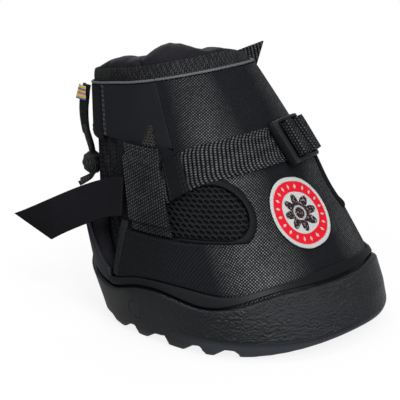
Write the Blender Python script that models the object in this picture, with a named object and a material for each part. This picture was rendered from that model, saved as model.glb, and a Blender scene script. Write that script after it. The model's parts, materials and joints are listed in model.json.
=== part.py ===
"""A strap-on hoof boot for a horse: rubber outsole, textile upper, padded collar and webbing straps.

The toe points along +X, the boot's left side is +Y and +Z is up. The origin is on the ground under the tread.
Angles run round the boot from the toe: 0 is the toe, 90 the left side, -90 the right side and 180 the heel.
A place on the upper is given by its angle, its height and how far it stands out from the lasted wall.
"""

import bpy
import bmesh
from math import ceil, cos, floor, pi, radians, sin, sqrt
from mathutils import Matrix, Vector

# Fits between pieces
FIT_GAP = 0.0003
LOOP_CLEARANCE = 0.0006
CUT_OVERRUN = 0.006

# Lasted wall of the upper: height, then reach to the front, to the rear and to each side
LAST_HEIGHT = 0.010
LAST_FRONT = 0.065
LAST_REAR = 0.071
LAST_SIDE = 0.061
BASE_HEIGHT = 0.026
BASE_FRONT = 0.0605
BASE_REAR = 0.079
BASE_SIDE = 0.065
WAIST_HEIGHT = 0.070
WAIST_FRONT = 0.0322
WAIST_REAR = 0.088
WAIST_SIDE = 0.0545
TOP_HEIGHT = 0.126
TOP_FRONT = -0.0093
TOP_REAR = 0.099
TOP_SIDE = 0.039
FRONT_ROUNDNESS = 2.3
HEEL_ROUNDNESS_LOW = 2.7
HEEL_ROUNDNESS_HIGH = 2.2

# Layers of the upper, measured outwards from the lasted wall
SHELL_CLOTH = 0.0019
LINING_THICKNESS = 0.0029
WINDOW_MESH = 0.0012
OVERLAY_CLOTH = 0.0014
WEBBING = 0.0018
KEEPER_WEBBING = 0.0014
FOLD_THICKNESS = 0.0011

# Rubber outsole
FLOOR_HEIGHT = 0.010
BULGE_HEIGHT = 0.009
EDGE_HEIGHT = 0.004
BULGE_WALL = 0.0045
BELLY_share = 0.45
RIM_WALL = 0.0032
TREAD_INSET = 0.0033
EDGE_INSET = 0.0011
TOE_ROCKER = 0.006
HEEL_ROCKER = 0.0025
TREAD_FLAT_share = 0.52
TREAD_TURN_share = 0.80
TREAD_TURN_POWER = 6
RIM_TOE_HEIGHT = 0.033
RIM_WAVE_shares = ((0, 1.0), (30, 0.98), (63, 0.765), (88, 0.885), (107, 0.715), (126, 0.82), (150, 0.94),
                   (180, 0.97))
LUG_PITCH = 0.021
LUG_COUNT = 4
LUG_FIRST_NOTCH = -0.026
LUG_DEPTH = 0.0045
LUG_INNER_END = 0.011
LUG_STEEP_RUN = 0.0010
LUG_FLOOR_RUN = 0.0022
LUG_GENTLE_RUN = 0.0060
CHANNEL_WIDTH = 0.0055
CHANNEL_DEPTH = 0.0038
CHANNEL_SPACING = 0.023
CHANNEL_FRONT = 0.043

# Rubber bands above the outsole's rim
RAND_THICKNESS = 0.0019
RAND_GROOVE = 0.0006
RAND_END_ANGLE = 107.5
RAND_TOP_HEIGHT = 0.039
RAND_TOP_shares = ((0, 1.0), (26, 0.95), (40, 0.885), (55, 0.81), (75, 0.87), (90, 0.865), (106, 0.74),
                   (180, 0.7))
COUNTER_START_ANGLE = 108.6
COUNTER_TOP_HEIGHT = 0.057
COUNTER_TOP_shares = ((0, 0.4), (108, 0.56), (119, 0.70), (132, 0.885), (152, 0.98), (180, 1.0))
COUNTER_WALL = 0.0032
COUNTER_FLARE = 0.0090
COUNTER_RECESS = 0.0005

# Insole
INSOLE_THICKNESS = 0.004

# Upper panels
PIPING_MEAN_HEIGHT = 0.124
PIPING_RISE = 0.0075
VAMP_LOW_ANGLE = 107
VAMP_LOW_HEIGHT = 0.0315
VAMP_HIGH_ANGLE = 97
VAMP_HIGH_HEIGHT = 0.062
CUFF_BOTTOM_HEIGHT = 0.0970
CUFF_FRONT_ANGLE = 64
CUFF_REAR_ANGLE = 109.5
CUFF_SLIT_ANGLE = 0.7
LINING_END_ANGLE = 97
WINDOW_REAR_ANGLE = 75.5
WINDOW_NOSE_ANGLE = 47.5
WINDOW_NOSE_SPAN = 16
WINDOW_BOTTOM_HEIGHT = 0.0556
WINDOW_TOP_HEIGHT = 0.0818
WINDOW_REAR_TOP_HEIGHT = 0.0732
WINDOW_ROUNDING_share = 1.3
WINDOW_TOP_BEND = 1.6
QUARTER_TOP_HEIGHT = 0.0548
QUARTER_FRONT_ANGLE = 46
QUARTER_FEATHER_share = 0.2
QUARTER_RAMP_share = 0.6
SEAM_ANGLE = 0.5
BINDING_THICKNESS = 0.0012
BINDING_SPAN_ANGLE = 4.2
BINDING_TOP_HEIGHT = 0.0590

# Gaiter and rear panel
GAITER_THICKNESS = 0.0019
GAITER_TUCK = 0.0040
GAITER_TUCK_LOW_HEIGHT = 0.055
GAITER_TUCK_HIGH_HEIGHT = 0.067
GAITER_START_ANGLE = 97.8
PLEAT_DEPTH = 0.0005
REAR_PANEL_START_ANGLE = 110.8
REAR_PANEL_BOTTOM_HEIGHT = 0.0935

# Collar
BAND_THICKNESS = 0.0017
BAND_DROP = 0.005
BAND_RISE = 0.008
BAND_LEFT_shares = ((0, 1.0), (20, 0.84), (45, 0.72), (90, 0.8), (125, 1.0), (180, 1.0))
PAD_DROP = 0.013
PAD_CREST = 0.0078
PAD_DEPTH = 0.0125
PAD_OVERHANG = 0.0012
PAD_LOW_CREST = 0.0010
PAD_RIGHT_shares = ((0, 0.04), (8, 0.0), (17, 0.26), (27, 0.66), (39, 0.88), (52, 0.84), (64, 0.68), (76, 0.42),
                    (88, 0.55), (104, 0.60), (120, 0.37), (134, 0.10), (150, 0.13), (165, 0.20), (180, 0.20))
PAD_LEFT_shares = ((0, 0.04), (12, 0.06), (24, 0.0), (90, 0.0), (108, 0.24), (122, 0.26), (134, 0.10),
                   (150, 0.13), (165, 0.20), (180, 0.20))
PAD_RIGHT_CREASE_ANGLE = 76
PAD_FRONT_ANGLE = 12
PAD_REAR_ANGLE = 134
PAD_SLIT_ANGLE = 1.4
PAD_END_ANGLE = 12
PAD_END_share = 0.8
PIPING_RADIUS = 0.00135

# Straps
STRAP_WIDTH = 0.020
STRAP_FRONT_HEIGHT = 0.0955
STRAP_HEIGHT_shares = ((0, 1.0), (25, 0.985), (45, 0.958), (60, 0.912), (75, 0.832), (90, 0.746), (180, 0.66))
STRAP_END_ANGLE = 92.4
STRAP_RIGHT_FRONT_ANGLE = 4
STRAP_LEFT_FRONT_ANGLE = 48
KEEPER_FRONT_ANGLE = 71.5
KEEPER_REAR_ANGLE = 91.2
KEEPER_BOTTOM_HEIGHT = 0.0562
KEEPER_TOP_HEIGHT = 0.0966
KEEPER_STITCHED = 0.0018
KEEPER_LEAN_ANGLE = 2.4
FOLD_FRONT_ANGLE = 59
FOLD_REAR_ANGLE = 70.6
FOLD_GROWTH_share = 0.02
TAIL_ROOT_ANGLE = 94.2
TAIL_LENGTH = 0.079
TAIL_THICKNESS = 0.0018
TAIL_CUT = 0.020
TAIL_HEADING_shares = (-0.89, 0.12, -0.38)

# Ladder lock, in its own plane: u along the strap to the left, v up the strap's width, n away from the boot
LOCK_ANGLE = 11.9
LOCK_HEIGHT = 0.0930
LOCK_LENGTH = 0.0278
LOCK_THICKNESS = 0.0032
LOCK_RAIL = 0.0020
LOCK_BEND_RADIUS = 0.052
LOCK_LIP_RISE = 0.0022
LOCK_LIP_share = 0.2
LOCK_NEAR_BAR = 0.0052
LOCK_MIDDLE_BAR = 0.0040
LOCK_FAR_BAR = 0.0030
BAR_CLEARANCE = 0.0010
BAR_SQUARENESS_share = 0.5
LOOP_THICKNESS = 0.0012
LOOP_TURN_START = 55
LOOP_TURN_END = 270
LOOP_BEND_ANGLE = 39.5
LOOP_END_ANGLE = 47

# Badge
BADGE_ANGLE = -4.5
BADGE_HEIGHT = 0.0645
BADGE_RADIUS = 0.0207
BADGE_THICKNESS = 0.0014

# Tab of the left cuff
TAB_WIDTH = 0.019
TAB_LENGTH = 0.040
TAB_SEWN_ANGLE = 97
TAB_CUT = 0.012
TAB_THICKNESS = 0.0018
TAB_HEIGHT = 0.112
TAB_RISE_share = 0.22
TAB_FORWARD_share = 0.27

# Pull at the rear
PULL_ANGLE = -143
PULL_TOP_HEIGHT = 0.1175
PULL_LENGTH = 0.0225
PULL_TAPE_WIDTH = 0.0075
PULL_TAPE_FOOT_WIDTH = 0.0062
PULL_TAPE_THICKNESS = 0.0024
LABEL_WIDTH = 0.0095
LABEL_HEIGHT = 0.0078
LABEL_THICKNESS = 0.0006
LABEL_DROP = 0.0006
CORD_DIAMETER = 0.0028
CORD_SPREAD = 0.0034
CORD_DROP = 0.0175
KNOT_DIAMETER = 0.0112
KNOT_FLAT_DIAMETER = 0.0068
CORD_END_LENGTH = 0.0095
CORD_END_SPREAD = 0.0046
CORD_END_KICK = 0.0042

# Fineness of the meshes
COLUMN_STEP = 5
BEND_STEPS = 8
OUTLINE_STEPS = 12


def lerp(start, end, share):
    return start + (end - start) * share


def clamp(value, low, high):
    return max(low, min(high, value))


def ease(value):
    value = clamp(value, 0.0, 1.0)
    return value * value * (3.0 - 2.0 * value)


def signed_power(value, power):
    return (1 if value >= 0 else -1) * abs(value) ** power


def share_at(angle, shares):
    """A smooth curve through (angle, share) pairs, level at the toe and at the heel."""
    angle = abs(angle)
    if angle > 180:
        angle = 360 - angle
    last = len(shares) - 1
    slopes = [0.0] * len(shares)
    for k in range(1, last):
        slopes[k] = (shares[k + 1][1] - shares[k - 1][1]) / (shares[k + 1][0] - shares[k - 1][0])
    for k in range(last):
        (a0, s0), (a1, s1) = shares[k], shares[k + 1]
        if angle <= a1:
            break
    span = a1 - a0
    t = (angle - a0) / span
    return ((2 * t ** 3 - 3 * t ** 2 + 1) * s0 + (t ** 3 - 2 * t ** 2 + t) * span * slopes[k]
            + (3 * t ** 2 - 2 * t ** 3) * s1 + (t ** 3 - t ** 2) * span * slopes[k + 1])


def through_three(height, low, middle, high):
    """The quadratic through three (height, value) pairs."""
    (h0, v0), (h1, v1), (h2, v2) = low, middle, high
    rise = (v1 - v0) / (h1 - h0)
    bend = ((v2 - v1) / (h2 - h1) - rise) / (h2 - h0)
    return v0 + rise * (height - h0) + bend * (height - h0) * (height - h1)


def wall_reach(height):
    """Front, rear and side reach of the lasted wall at a height."""
    if height <= BASE_HEIGHT:
        share = clamp((height - LAST_HEIGHT) / (BASE_HEIGHT - LAST_HEIGHT), 0.0, 1.0)
        return (lerp(LAST_FRONT, BASE_FRONT, share), lerp(LAST_REAR, BASE_REAR, share),
                lerp(LAST_SIDE, BASE_SIDE, share))
    levels = ((BASE_FRONT, WAIST_FRONT, TOP_FRONT), (BASE_REAR, WAIST_REAR, TOP_REAR),
              (BASE_SIDE, WAIST_SIDE, TOP_SIDE))
    return tuple(through_three(height, (BASE_HEIGHT, low), (WAIST_HEIGHT, middle), (TOP_HEIGHT, high))
                 for low, middle, high in levels)


def wall_point(angle, height, stand=0.0):
    """The point at an angle and a height that stands out from the lasted wall."""
    front, rear, side = wall_reach(height)
    along, across = cos(radians(angle)), sin(radians(angle))
    heel_share = clamp((height - LAST_HEIGHT) / (TOP_HEIGHT - LAST_HEIGHT), 0.0, 1.0)
    roundness = FRONT_ROUNDNESS if along > 0 else lerp(HEEL_ROUNDNESS_LOW, HEEL_ROUNDNESS_HIGH, heel_share)
    power = 2.0 / roundness
    x = (front - rear) / 2 + ((front + rear) / 2 + stand) * signed_power(along, power)
    y = (side + stand) * signed_power(across, power)
    return Vector((x, y, height))


def piping_height(angle):
    return PIPING_MEAN_HEIGHT + PIPING_RISE * cos(radians(angle))


def columns(start, end):
    """Angles from start to end, on a lattice that all panels share."""
    first = floor(start / COLUMN_STEP) + 1
    last = ceil(end / COLUMN_STEP) - 1
    inner = [k * COLUMN_STEP for k in range(first, last + 1)]
    near = COLUMN_STEP / 4
    return [start] + [a for a in inner if a - start > near and end - a > near] + [end]


def material(name, colour, roughness, metallic=0.0):
    made = bpy.data.materials.new(name)
    made.use_nodes = True
    shader = made.node_tree.nodes["Principled BSDF"]
    shader.inputs["Base Color"].default_value = (*colour, 1.0)
    shader.inputs["Roughness"].default_value = roughness
    shader.inputs["Metallic"].default_value = metallic
    made.diffuse_color = (*colour, 1.0)
    return made


def body(name, vertices, faces, finish):
    """One closed body with its faces pointing out."""
    mesh = bpy.data.meshes.new(name)
    mesh.from_pydata([tuple(v) for v in vertices], [], faces)
    shape = bmesh.new()
    shape.from_mesh(mesh)
    bmesh.ops.remove_doubles(shape, verts=shape.verts, dist=FIT_GAP / 60)
    bmesh.ops.recalc_face_normals(shape, faces=shape.faces)
    shape.to_mesh(mesh)
    shape.free()
    mesh.materials.append(finish)
    mesh.shade_smooth()
    mesh.set_sharp_from_angle(angle=radians(40))
    made = bpy.data.objects.new(name, mesh)
    bpy.context.scene.collection.objects.link(made)
    return made


def loft(name, loops, finish, ring=False):
    """Skin a row of loops that have the same number of points. The ends are capped unless it is a ring."""
    count = len(loops[0])
    vertices = [v for loop in loops for v in loop]
    faces = []
    spans = len(loops) if ring else len(loops) - 1
    for i in range(spans):
        a, b = i * count, (i + 1) % len(loops) * count
        for j in range(count):
            k = (j + 1) % count
            faces.append((a + j, a + k, b + k, b + j))
    if not ring:
        faces.append(tuple(range(count)))
        faces.append(tuple(range(len(vertices) - count, len(vertices))))
    return body(name, vertices, faces, finish)


def stand_at(stand, angle, height):
    return stand(angle, height) if callable(stand) else stand


def wall_sheet(name, grid, inner, outer, finish, ring=False):
    """A sheet on the wall: columns of (angle, height) places, between two stands."""
    loops = []
    for column in grid:
        outside = [wall_point(a, h, stand_at(outer, a, h)) for a, h in column]
        inside = [wall_point(a, h, stand_at(inner, a, h)) for a, h in reversed(column)]
        loops.append(outside + inside)
    if ring:
        return loft(name, loops, finish, ring=True)
    vertices = [v for loop in loops for v in loop]
    rows, count = len(grid[0]), 2 * len(grid[0])
    faces = []
    for i in range(len(loops) - 1):
        a, b = i * count, (i + 1) * count
        for j in range(count):
            k = (j + 1) % count
            faces.append((a + j, a + k, b + k, b + j))
    for a in (0, (len(loops) - 1) * count):
        for j in range(rows - 1):
            faces.append((a + j, a + j + 1, a + count - 2 - j, a + count - 1 - j))
    return body(name, vertices, faces, finish)


def wall_patch(name, outline, centre, inner, outer, finish, rings=3):
    """A sheet on the wall inside an outline of (angle, height) places."""
    vertices = []
    count = len(outline)
    for stand in (outer, inner):
        vertices.append(wall_point(*centre, stand))
        for r in range(1, rings + 1):
            for angle, height in outline:
                place = (lerp(centre[0], angle, r / rings), lerp(centre[1], height, r / rings))
                vertices.append(wall_point(*place, stand))
    side = 1 + rings * count
    faces = []
    for base in (0, side):
        for j in range(count):
            k = (j + 1) % count
            faces.append((base, base + 1 + j, base + 1 + k))
            for r in range(rings - 1):
                a, b = base + 1 + r * count, base + 1 + (r + 1) * count
                faces.append((a + j, b + j, b + k, a + k))
    rim = 1 + (rings - 1) * count
    for j in range(count):
        k = (j + 1) % count
        faces.append((rim + j, side + rim + j, side + rim + k, rim + k))
    return body(name, vertices, faces, finish)


def band_grid(angles, bottom, top, rows):
    """Columns of places from a bottom height to a top height, both functions of the angle."""
    return [[(a, lerp(bottom(a), top(a), r / rows)) for r in range(rows + 1)] for a in angles]


def cut(target, *cutters):
    for cutter in cutters:
        cutter.hide_render = True
        cutter.display_type = 'WIRE'
        modifier = target.modifiers.new("cut " + cutter.name, 'BOOLEAN')
        modifier.operation = 'DIFFERENCE'
        modifier.solver = 'EXACT'
        modifier.object = cutter


def prism(name, profile, start, end, finish, axis='Y'):
    """A flat profile of pairs pushed along Y (pairs are x, z) or along X (pairs are y, z)."""
    if axis == 'Y':
        loops = [[Vector((x, at, z)) for x, z in profile] for at in (start, end)]
    else:
        loops = [[Vector((at, y, z)) for y, z in profile] for at in (start, end)]
    return loft(name, loops, finish)


RUBBER = material("rubber", (0.030, 0.032, 0.040), 0.45)
COUNTER_RUBBER = material("counter_rubber", (0.042, 0.044, 0.052), 0.5)
INSOLE_FOAM = material("insole_foam", (0.05, 0.05, 0.055), 0.9)
BALLISTIC_NYLON = material("ballistic_nylon", (0.022, 0.023, 0.026), 0.7)
LINING_CLOTH = material("lining_cloth", (0.015, 0.015, 0.018), 0.9)
SPACER_MESH = material("spacer_mesh", (0.020, 0.020, 0.024), 0.8)
CUFF_LEATHER = material("cuff_leather", (0.028, 0.029, 0.033), 0.55)
PAD_CLOTH = material("pad_cloth", (0.016, 0.016, 0.019), 0.85)
PIPING_CLOTH = material("piping_cloth", (0.25, 0.25, 0.26), 0.6)
WEBBING_CLOTH = material("webbing_cloth", (0.020, 0.020, 0.023), 0.75)
HOOK_TAPE = material("hook_tape", (0.014, 0.014, 0.016), 0.8)
BLACK_PLASTIC = material("black_plastic", (0.02, 0.02, 0.022), 0.3)
BADGE_CLOTH = material("badge_cloth", (0.60, 0.03, 0.04), 0.75)
LABEL_CLOTH = material("label_cloth", (0.55, 0.52, 0.25), 0.8)
CORD_BRAID = material("cord_braid", (0.03, 0.03, 0.035), 0.8)
CUTTER = material("cutter", (0.8, 0.3, 0.1), 1.0)

SHELL_INNER = SHELL_CLOTH + FIT_GAP
RIM_STAND = SHELL_INNER + RIM_WALL
BULGE_STAND = SHELL_INNER + BULGE_WALL
WEBBING_INNER = SHELL_CLOTH + FIT_GAP
WEBBING_OUTER = WEBBING_INNER + WEBBING
LINING_INNER = FIT_GAP + LINING_THICKNESS
UPPER_FOOT_HEIGHT = FLOOR_HEIGHT + FIT_GAP
INSOLE_TOP_HEIGHT = UPPER_FOOT_HEIGHT + INSOLE_THICKNESS


def rim_height(angle):
    return RIM_TOE_HEIGHT * share_at(angle, RIM_WAVE_shares)


def rand_top_height(angle):
    return RAND_TOP_HEIGHT * share_at(angle, RAND_TOP_shares)


def counter_top_height(angle):
    return COUNTER_TOP_HEIGHT * share_at(angle, COUNTER_TOP_shares)


def rocker(angle):
    """How far the edge of the tread lifts off the ground, most at the toe."""
    along = cos(radians(angle))
    return TOE_ROCKER * max(along, 0.0) ** 3 + HEEL_ROCKER * max(-along, 0.0) ** 3


def outsole_column(angle):
    lift = rocker(angle)
    rim = rim_height(angle)
    middle = lerp(BULGE_HEIGHT, rim, BELLY_share)
    edge = wall_point(angle, 0.0, BULGE_STAND - TREAD_INSET)
    flat = [edge * TREAD_FLAT_share, edge * TREAD_TURN_share]
    flat[1].z = lift * TREAD_TURN_share ** TREAD_TURN_POWER
    edge.z = lift
    outside = [wall_point(angle, EDGE_HEIGHT, BULGE_STAND - EDGE_INSET),
               wall_point(angle, BULGE_HEIGHT, BULGE_STAND),
               wall_point(angle, middle, lerp(BULGE_STAND, RIM_STAND, BELLY_share)),
               wall_point(angle, rim, RIM_STAND)]
    outside[0].z += lift * (1 - EDGE_HEIGHT / FLOOR_HEIGHT)
    outside[1].z += lift * (1 - BULGE_HEIGHT / FLOOR_HEIGHT)
    knee = min(BASE_HEIGHT, rim - FIT_GAP)
    inside = [wall_point(angle, h, SHELL_INNER) for h in (rim, knee, lerp(FLOOR_HEIGHT, knee, 0.5))]
    foot = wall_point(angle, FLOOR_HEIGHT, SHELL_INNER)
    return ([Vector((0.0, 0.0, 0.0))] + flat + [edge] + outside + inside
            + [foot, Vector((0.0, 0.0, FLOOR_HEIGHT))])


def make_outsole():
    loops = [outsole_column(a) for a in range(-180, 180, COLUMN_STEP)]
    count = len(loops[0])
    vertices = [v for loop in loops for v in loop]
    faces = []
    for i in range(len(loops)):
        a, b = i * count, (i + 1) % len(loops) * count
        faces.append((a, a + 1, b + 1))
        for j in range(1, count - 2):
            faces.append((a + j, a + j + 1, b + j + 1, b + j))
        faces.append((a + count - 2, a + count - 1, b + count - 2))
    outsole = body("outsole", vertices, faces, RUBBER)
    reach = BASE_SIDE + RIM_STAND + CUT_OVERRUN
    notches = []
    for k in range(LUG_COUNT):
        x = LUG_FIRST_NOTCH + k * LUG_PITCH
        profile = ((x - LUG_STEEP_RUN, -CUT_OVERRUN), (x - LUG_STEEP_RUN, 0.0), (x, LUG_DEPTH),
                   (x + LUG_FLOOR_RUN, LUG_DEPTH), (x + LUG_FLOOR_RUN + LUG_GENTLE_RUN, 0.0),
                   (x + LUG_FLOOR_RUN + LUG_GENTLE_RUN, -CUT_OVERRUN))
        notches.append(prism(f"lug_notch_right_{k}", profile, -reach, -LUG_INNER_END, CUTTER))
        notches.append(prism(f"lug_notch_left_{k}", profile, LUG_INNER_END, reach, CUTTER))
    channels = []
    rear = -(LAST_REAR + BULGE_STAND + CUT_OVERRUN)
    for side in (-1, 1):
        y = side * CHANNEL_SPACING
        half = CHANNEL_WIDTH / 2
        profile = ((y - half, -CUT_OVERRUN), (y - half, CHANNEL_DEPTH), (y + half, CHANNEL_DEPTH),
                   (y + half, -CUT_OVERRUN))
        channels.append(prism(f"tread_channel_{side}", profile, rear, CHANNEL_FRONT, CUTTER, axis='X'))
    cut(outsole, *notches, *channels)


def make_insole():
    stand = -(LINING_INNER + FIT_GAP)
    angles = range(-180, 180, 2 * COLUMN_STEP)
    loops = [[wall_point(a, h, stand) for a in angles] for h in (UPPER_FOOT_HEIGHT, INSOLE_TOP_HEIGHT)]
    loft("insole_pad", loops, INSOLE_FOAM)


def make_rubber_bands():
    angles = columns(-RAND_END_ANGLE, RAND_END_ANGLE)
    inner = SHELL_INNER + FIT_GAP / 2
    rounding = RAND_THICKNESS / 3

    def bottom(a):
        return rim_height(a) + RAND_GROOVE

    def stand(a, h):
        near_top = rand_top_height(a) - h < rounding
        return inner + RAND_THICKNESS - (rounding if near_top else 0.0)

    grid = [[(a, bottom(a)), (a, lerp(bottom(a), rand_top_height(a), 0.5)),
             (a, rand_top_height(a) - rounding), (a, rand_top_height(a))] for a in angles]
    wall_sheet("toe_rand", grid, inner, stand, RUBBER)

    angles = columns(COUNTER_START_ANGLE, 360 - COUNTER_START_ANGLE)
    low = RIM_STAND - COUNTER_RECESS

    def counter_bottom(a):
        return rim_height(a) + RAND_GROOVE

    def counter_outer(a, h):
        return lerp(low, COUNTER_FLARE, (h - RIM_TOE_HEIGHT) / (COUNTER_TOP_HEIGHT - RIM_TOE_HEIGHT))

    def counter_inner(a, h):
        return counter_outer(a, h) - COUNTER_WALL + COUNTER_RECESS

    grid = band_grid(angles, counter_bottom, counter_top_height, 3)
    wall_sheet("heel_counter", grid, counter_inner, counter_outer, COUNTER_RUBBER)


def window_outline(side, shrink=0.0):
    """The D of a side window: straight at the rear and below, round in front."""
    rear, nose = WINDOW_REAR_ANGLE, WINDOW_NOSE_ANGLE
    low, high = WINDOW_BOTTOM_HEIGHT + shrink, WINDOW_TOP_HEIGHT - shrink
    middle, half = (low + high) / 2, (high - low) / 2
    degrees = shrink / WAIST_SIDE * 180 / pi * WINDOW_ROUNDING_share
    rear -= degrees
    span = WINDOW_NOSE_SPAN - degrees
    rear_top = WINDOW_REAR_TOP_HEIGHT - shrink
    points = [(lerp(rear, nose, k / 4), low) for k in range(4)]
    for k in range(OUTLINE_STEPS + 1):
        turn = radians(-90 + 180 * k / OUTLINE_STEPS)
        points.append((nose - span * cos(turn), middle + half * sin(turn)))
    for k in range(1, 4):
        share = k / 4
        points.append((lerp(nose, rear, share), lerp(high, rear_top, share ** WINDOW_TOP_BEND)))
    points.append((rear, rear_top))
    points.append((rear, lerp(rear_top, low, 0.5)))
    centre = (side * lerp(rear, nose - span, 0.5), middle)
    return [(side * a, h) for a, h in points], centre


def vamp_heights(a):
    top = piping_height(a)
    above = [lerp(BASE_HEIGHT, top, k / 9) for k in range(1, 10)]
    return [UPPER_FOOT_HEIGHT, lerp(UPPER_FOOT_HEIGHT, BASE_HEIGHT, 0.5), BASE_HEIGHT] + above


def vamp_edge(h):
    share = clamp((h - VAMP_LOW_HEIGHT) / (VAMP_HIGH_HEIGHT - VAMP_LOW_HEIGHT), 0.0, 1.0)
    return lerp(VAMP_LOW_ANGLE, VAMP_HIGH_ANGLE, share)


def make_upper():
    """The nylon shell, its lining and windows, and the overlays that are sewn on it."""
    angles = columns(-VAMP_LOW_ANGLE, VAMP_LOW_ANGLE)
    grid = [[(a, h) for h in vamp_heights(a)] for a in angles]
    vamp = wall_sheet("vamp", grid, 0.0, SHELL_CLOTH, BALLISTIC_NYLON)
    angles = columns(-LINING_END_ANGLE, LINING_END_ANGLE)
    grid = []
    for a in angles:
        top = piping_height(a) - BAND_DROP - FIT_GAP
        grid.append([(a, h) for h in vamp_heights(a)[:3]]
                    + [(a, lerp(BASE_HEIGHT, top, k / 8)) for k in range(1, 9)])
    wall_sheet("lining", grid, -LINING_INNER, -FIT_GAP, LINING_CLOTH)
    reach = 2 * (SHELL_CLOTH + FIT_GAP)
    for side, name in ((-1, "right"), (1, "left")):
        slit = CUFF_BOTTOM_HEIGHT - FIT_GAP
        levels = ((VAMP_LOW_HEIGHT, VAMP_LOW_ANGLE), (lerp(VAMP_LOW_HEIGHT, VAMP_HIGH_HEIGHT, 0.5),
                  lerp(VAMP_LOW_ANGLE, VAMP_HIGH_ANGLE, 0.5)), (VAMP_HIGH_HEIGHT, VAMP_HIGH_ANGLE),
                  (lerp(VAMP_HIGH_HEIGHT, slit, 0.5), VAMP_HIGH_ANGLE),
                  (slit, VAMP_HIGH_ANGLE), (slit, CUFF_FRONT_ANGLE - CUFF_SLIT_ANGLE),
                  (TOP_HEIGHT, CUFF_FRONT_ANGLE - CUFF_SLIT_ANGLE),
                  (TOP_HEIGHT + 2 * CUT_OVERRUN, CUFF_FRONT_ANGLE - CUFF_SLIT_ANGLE))
        beyond = VAMP_LOW_ANGLE + 2 * COLUMN_STEP
        grid = [[(side * lerp(edge, beyond, k / 9), h) for h, edge in levels] for k in range(10)]
        notch = wall_sheet(f"rear_notch_{name}", grid, -reach, 2 * reach, CUTTER)
        outline, centre = window_outline(side)
        opening = wall_patch(f"window_opening_{name}", outline, centre, -reach, 2 * reach, CUTTER)
        cut(vamp, notch, opening)
        outline, centre = window_outline(side, FIT_GAP)
        wall_patch(f"mesh_window_{name}", outline, centre, 0.0, WINDOW_MESH, SPACER_MESH)
        make_quarter(side, name)
        make_binding(side, name)


def make_quarter(side, name):
    def front_share(a):
        span = VAMP_HIGH_ANGLE - QUARTER_FRONT_ANGLE
        return ease((abs(a) - QUARTER_FRONT_ANGLE) / (span * QUARTER_RAMP_share))

    def outer(a, h):
        return WEBBING_INNER + OVERLAY_CLOTH * lerp(QUARTER_FEATHER_share, 1.0, front_share(a))

    rows = 4
    grid = []
    low_edge = VAMP_LOW_ANGLE - BINDING_SPAN_ANGLE - SEAM_ANGLE
    start = QUARTER_FRONT_ANGLE
    shares = [k / 9 for k in range(10)]
    for share in shares:
        column = []
        for r in range(rows + 1):
            rough = lerp(start, low_edge, share)
            bottom = rand_top_height(rough) + FIT_GAP
            height = lerp(bottom, QUARTER_TOP_HEIGHT, r / rows)
            end = vamp_edge(height) - BINDING_SPAN_ANGLE - SEAM_ANGLE
            angle = lerp(start, end, share)
            column.append((side * angle, height))
        grid.append(column)
    wall_sheet(f"quarter_{name}", grid, WEBBING_INNER, outer, BALLISTIC_NYLON)


def make_binding(side, name):
    low = rand_top_height(VAMP_LOW_ANGLE - BINDING_SPAN_ANGLE - SEAM_ANGLE) + FIT_GAP
    grid = []
    for k in range(7):
        height = lerp(low, BINDING_TOP_HEIGHT, k / 6)
        edge, seam = vamp_edge(height) - SEAM_ANGLE / 2, vamp_edge(height) - BINDING_SPAN_ANGLE
        grid.append([(side * edge, height), (side * lerp(edge, seam, 0.5), height), (side * seam, height)])
    wall_sheet(f"edge_binding_{name}", grid, WEBBING_INNER, WEBBING_INNER + BINDING_THICKNESS, HOOK_TAPE)


def make_cuffs():
    for side, name in ((-1, "right"), (1, "left")):
        angles = [side * a for a in columns(CUFF_FRONT_ANGLE, CUFF_REAR_ANGLE)]
        grid = band_grid(angles, lambda a: CUFF_BOTTOM_HEIGHT, piping_height, 3)
        wall_sheet(f"cuff_{name}", grid, 0.0, SHELL_CLOTH, CUFF_LEATHER)


def gaiter_stand(height):
    share = (height - GAITER_TUCK_LOW_HEIGHT) / (GAITER_TUCK_HIGH_HEIGHT - GAITER_TUCK_LOW_HEIGHT)
    return -FIT_GAP - GAITER_TUCK * (1 - ease(share))


def make_rear():
    """The gaiter behind the heel, tucked into the heel cup below, and the panel above it."""
    angles = columns(GAITER_START_ANGLE, 360 - GAITER_START_ANGLE)
    grid = []
    for a in angles:
        top = piping_height(a) - BAND_DROP - FIT_GAP
        above = [lerp(GAITER_TUCK_HIGH_HEIGHT, top, k / 4) for k in range(1, 5)]
        low = [INSOLE_TOP_HEIGHT + FIT_GAP, BASE_HEIGHT, lerp(BASE_HEIGHT, GAITER_TUCK_LOW_HEIGHT, 0.5),
               GAITER_TUCK_LOW_HEIGHT, lerp(GAITER_TUCK_LOW_HEIGHT, GAITER_TUCK_HIGH_HEIGHT, 0.5),
               GAITER_TUCK_HIGH_HEIGHT]
        grid.append([(a, h) for h in low + above])

    def pleat(a):
        return PLEAT_DEPTH if round(a / COLUMN_STEP) % 2 else 0.0

    wall_sheet("rear_gaiter", grid, lambda a, h: gaiter_stand(h) - GAITER_THICKNESS - pleat(a),
               lambda a, h: gaiter_stand(h) - pleat(a), SPACER_MESH)
    angles = columns(REAR_PANEL_START_ANGLE, 360 - REAR_PANEL_START_ANGLE)
    grid = band_grid(angles, lambda a: REAR_PANEL_BOTTOM_HEIGHT, piping_height, 3)
    wall_sheet("rear_panel", grid, 0.0, SHELL_CLOTH, BALLISTIC_NYLON)


def band_rise(angle):
    """The band stands lower along the front of the left side, where the collar has settled."""
    left_side = 0 < angle % 360 < 180
    return BAND_RISE * (share_at(angle, BAND_LEFT_shares) if left_side else 1.0)


def make_band():
    angles = range(-180, 180, COLUMN_STEP)
    grid = band_grid(angles, lambda a: piping_height(a) - BAND_DROP,
                     lambda a: piping_height(a) + band_rise(a), 2)
    wall_sheet("collar_band", grid, -FIT_GAP - BAND_THICKNESS, -FIT_GAP, SPACER_MESH, ring=True)


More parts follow.
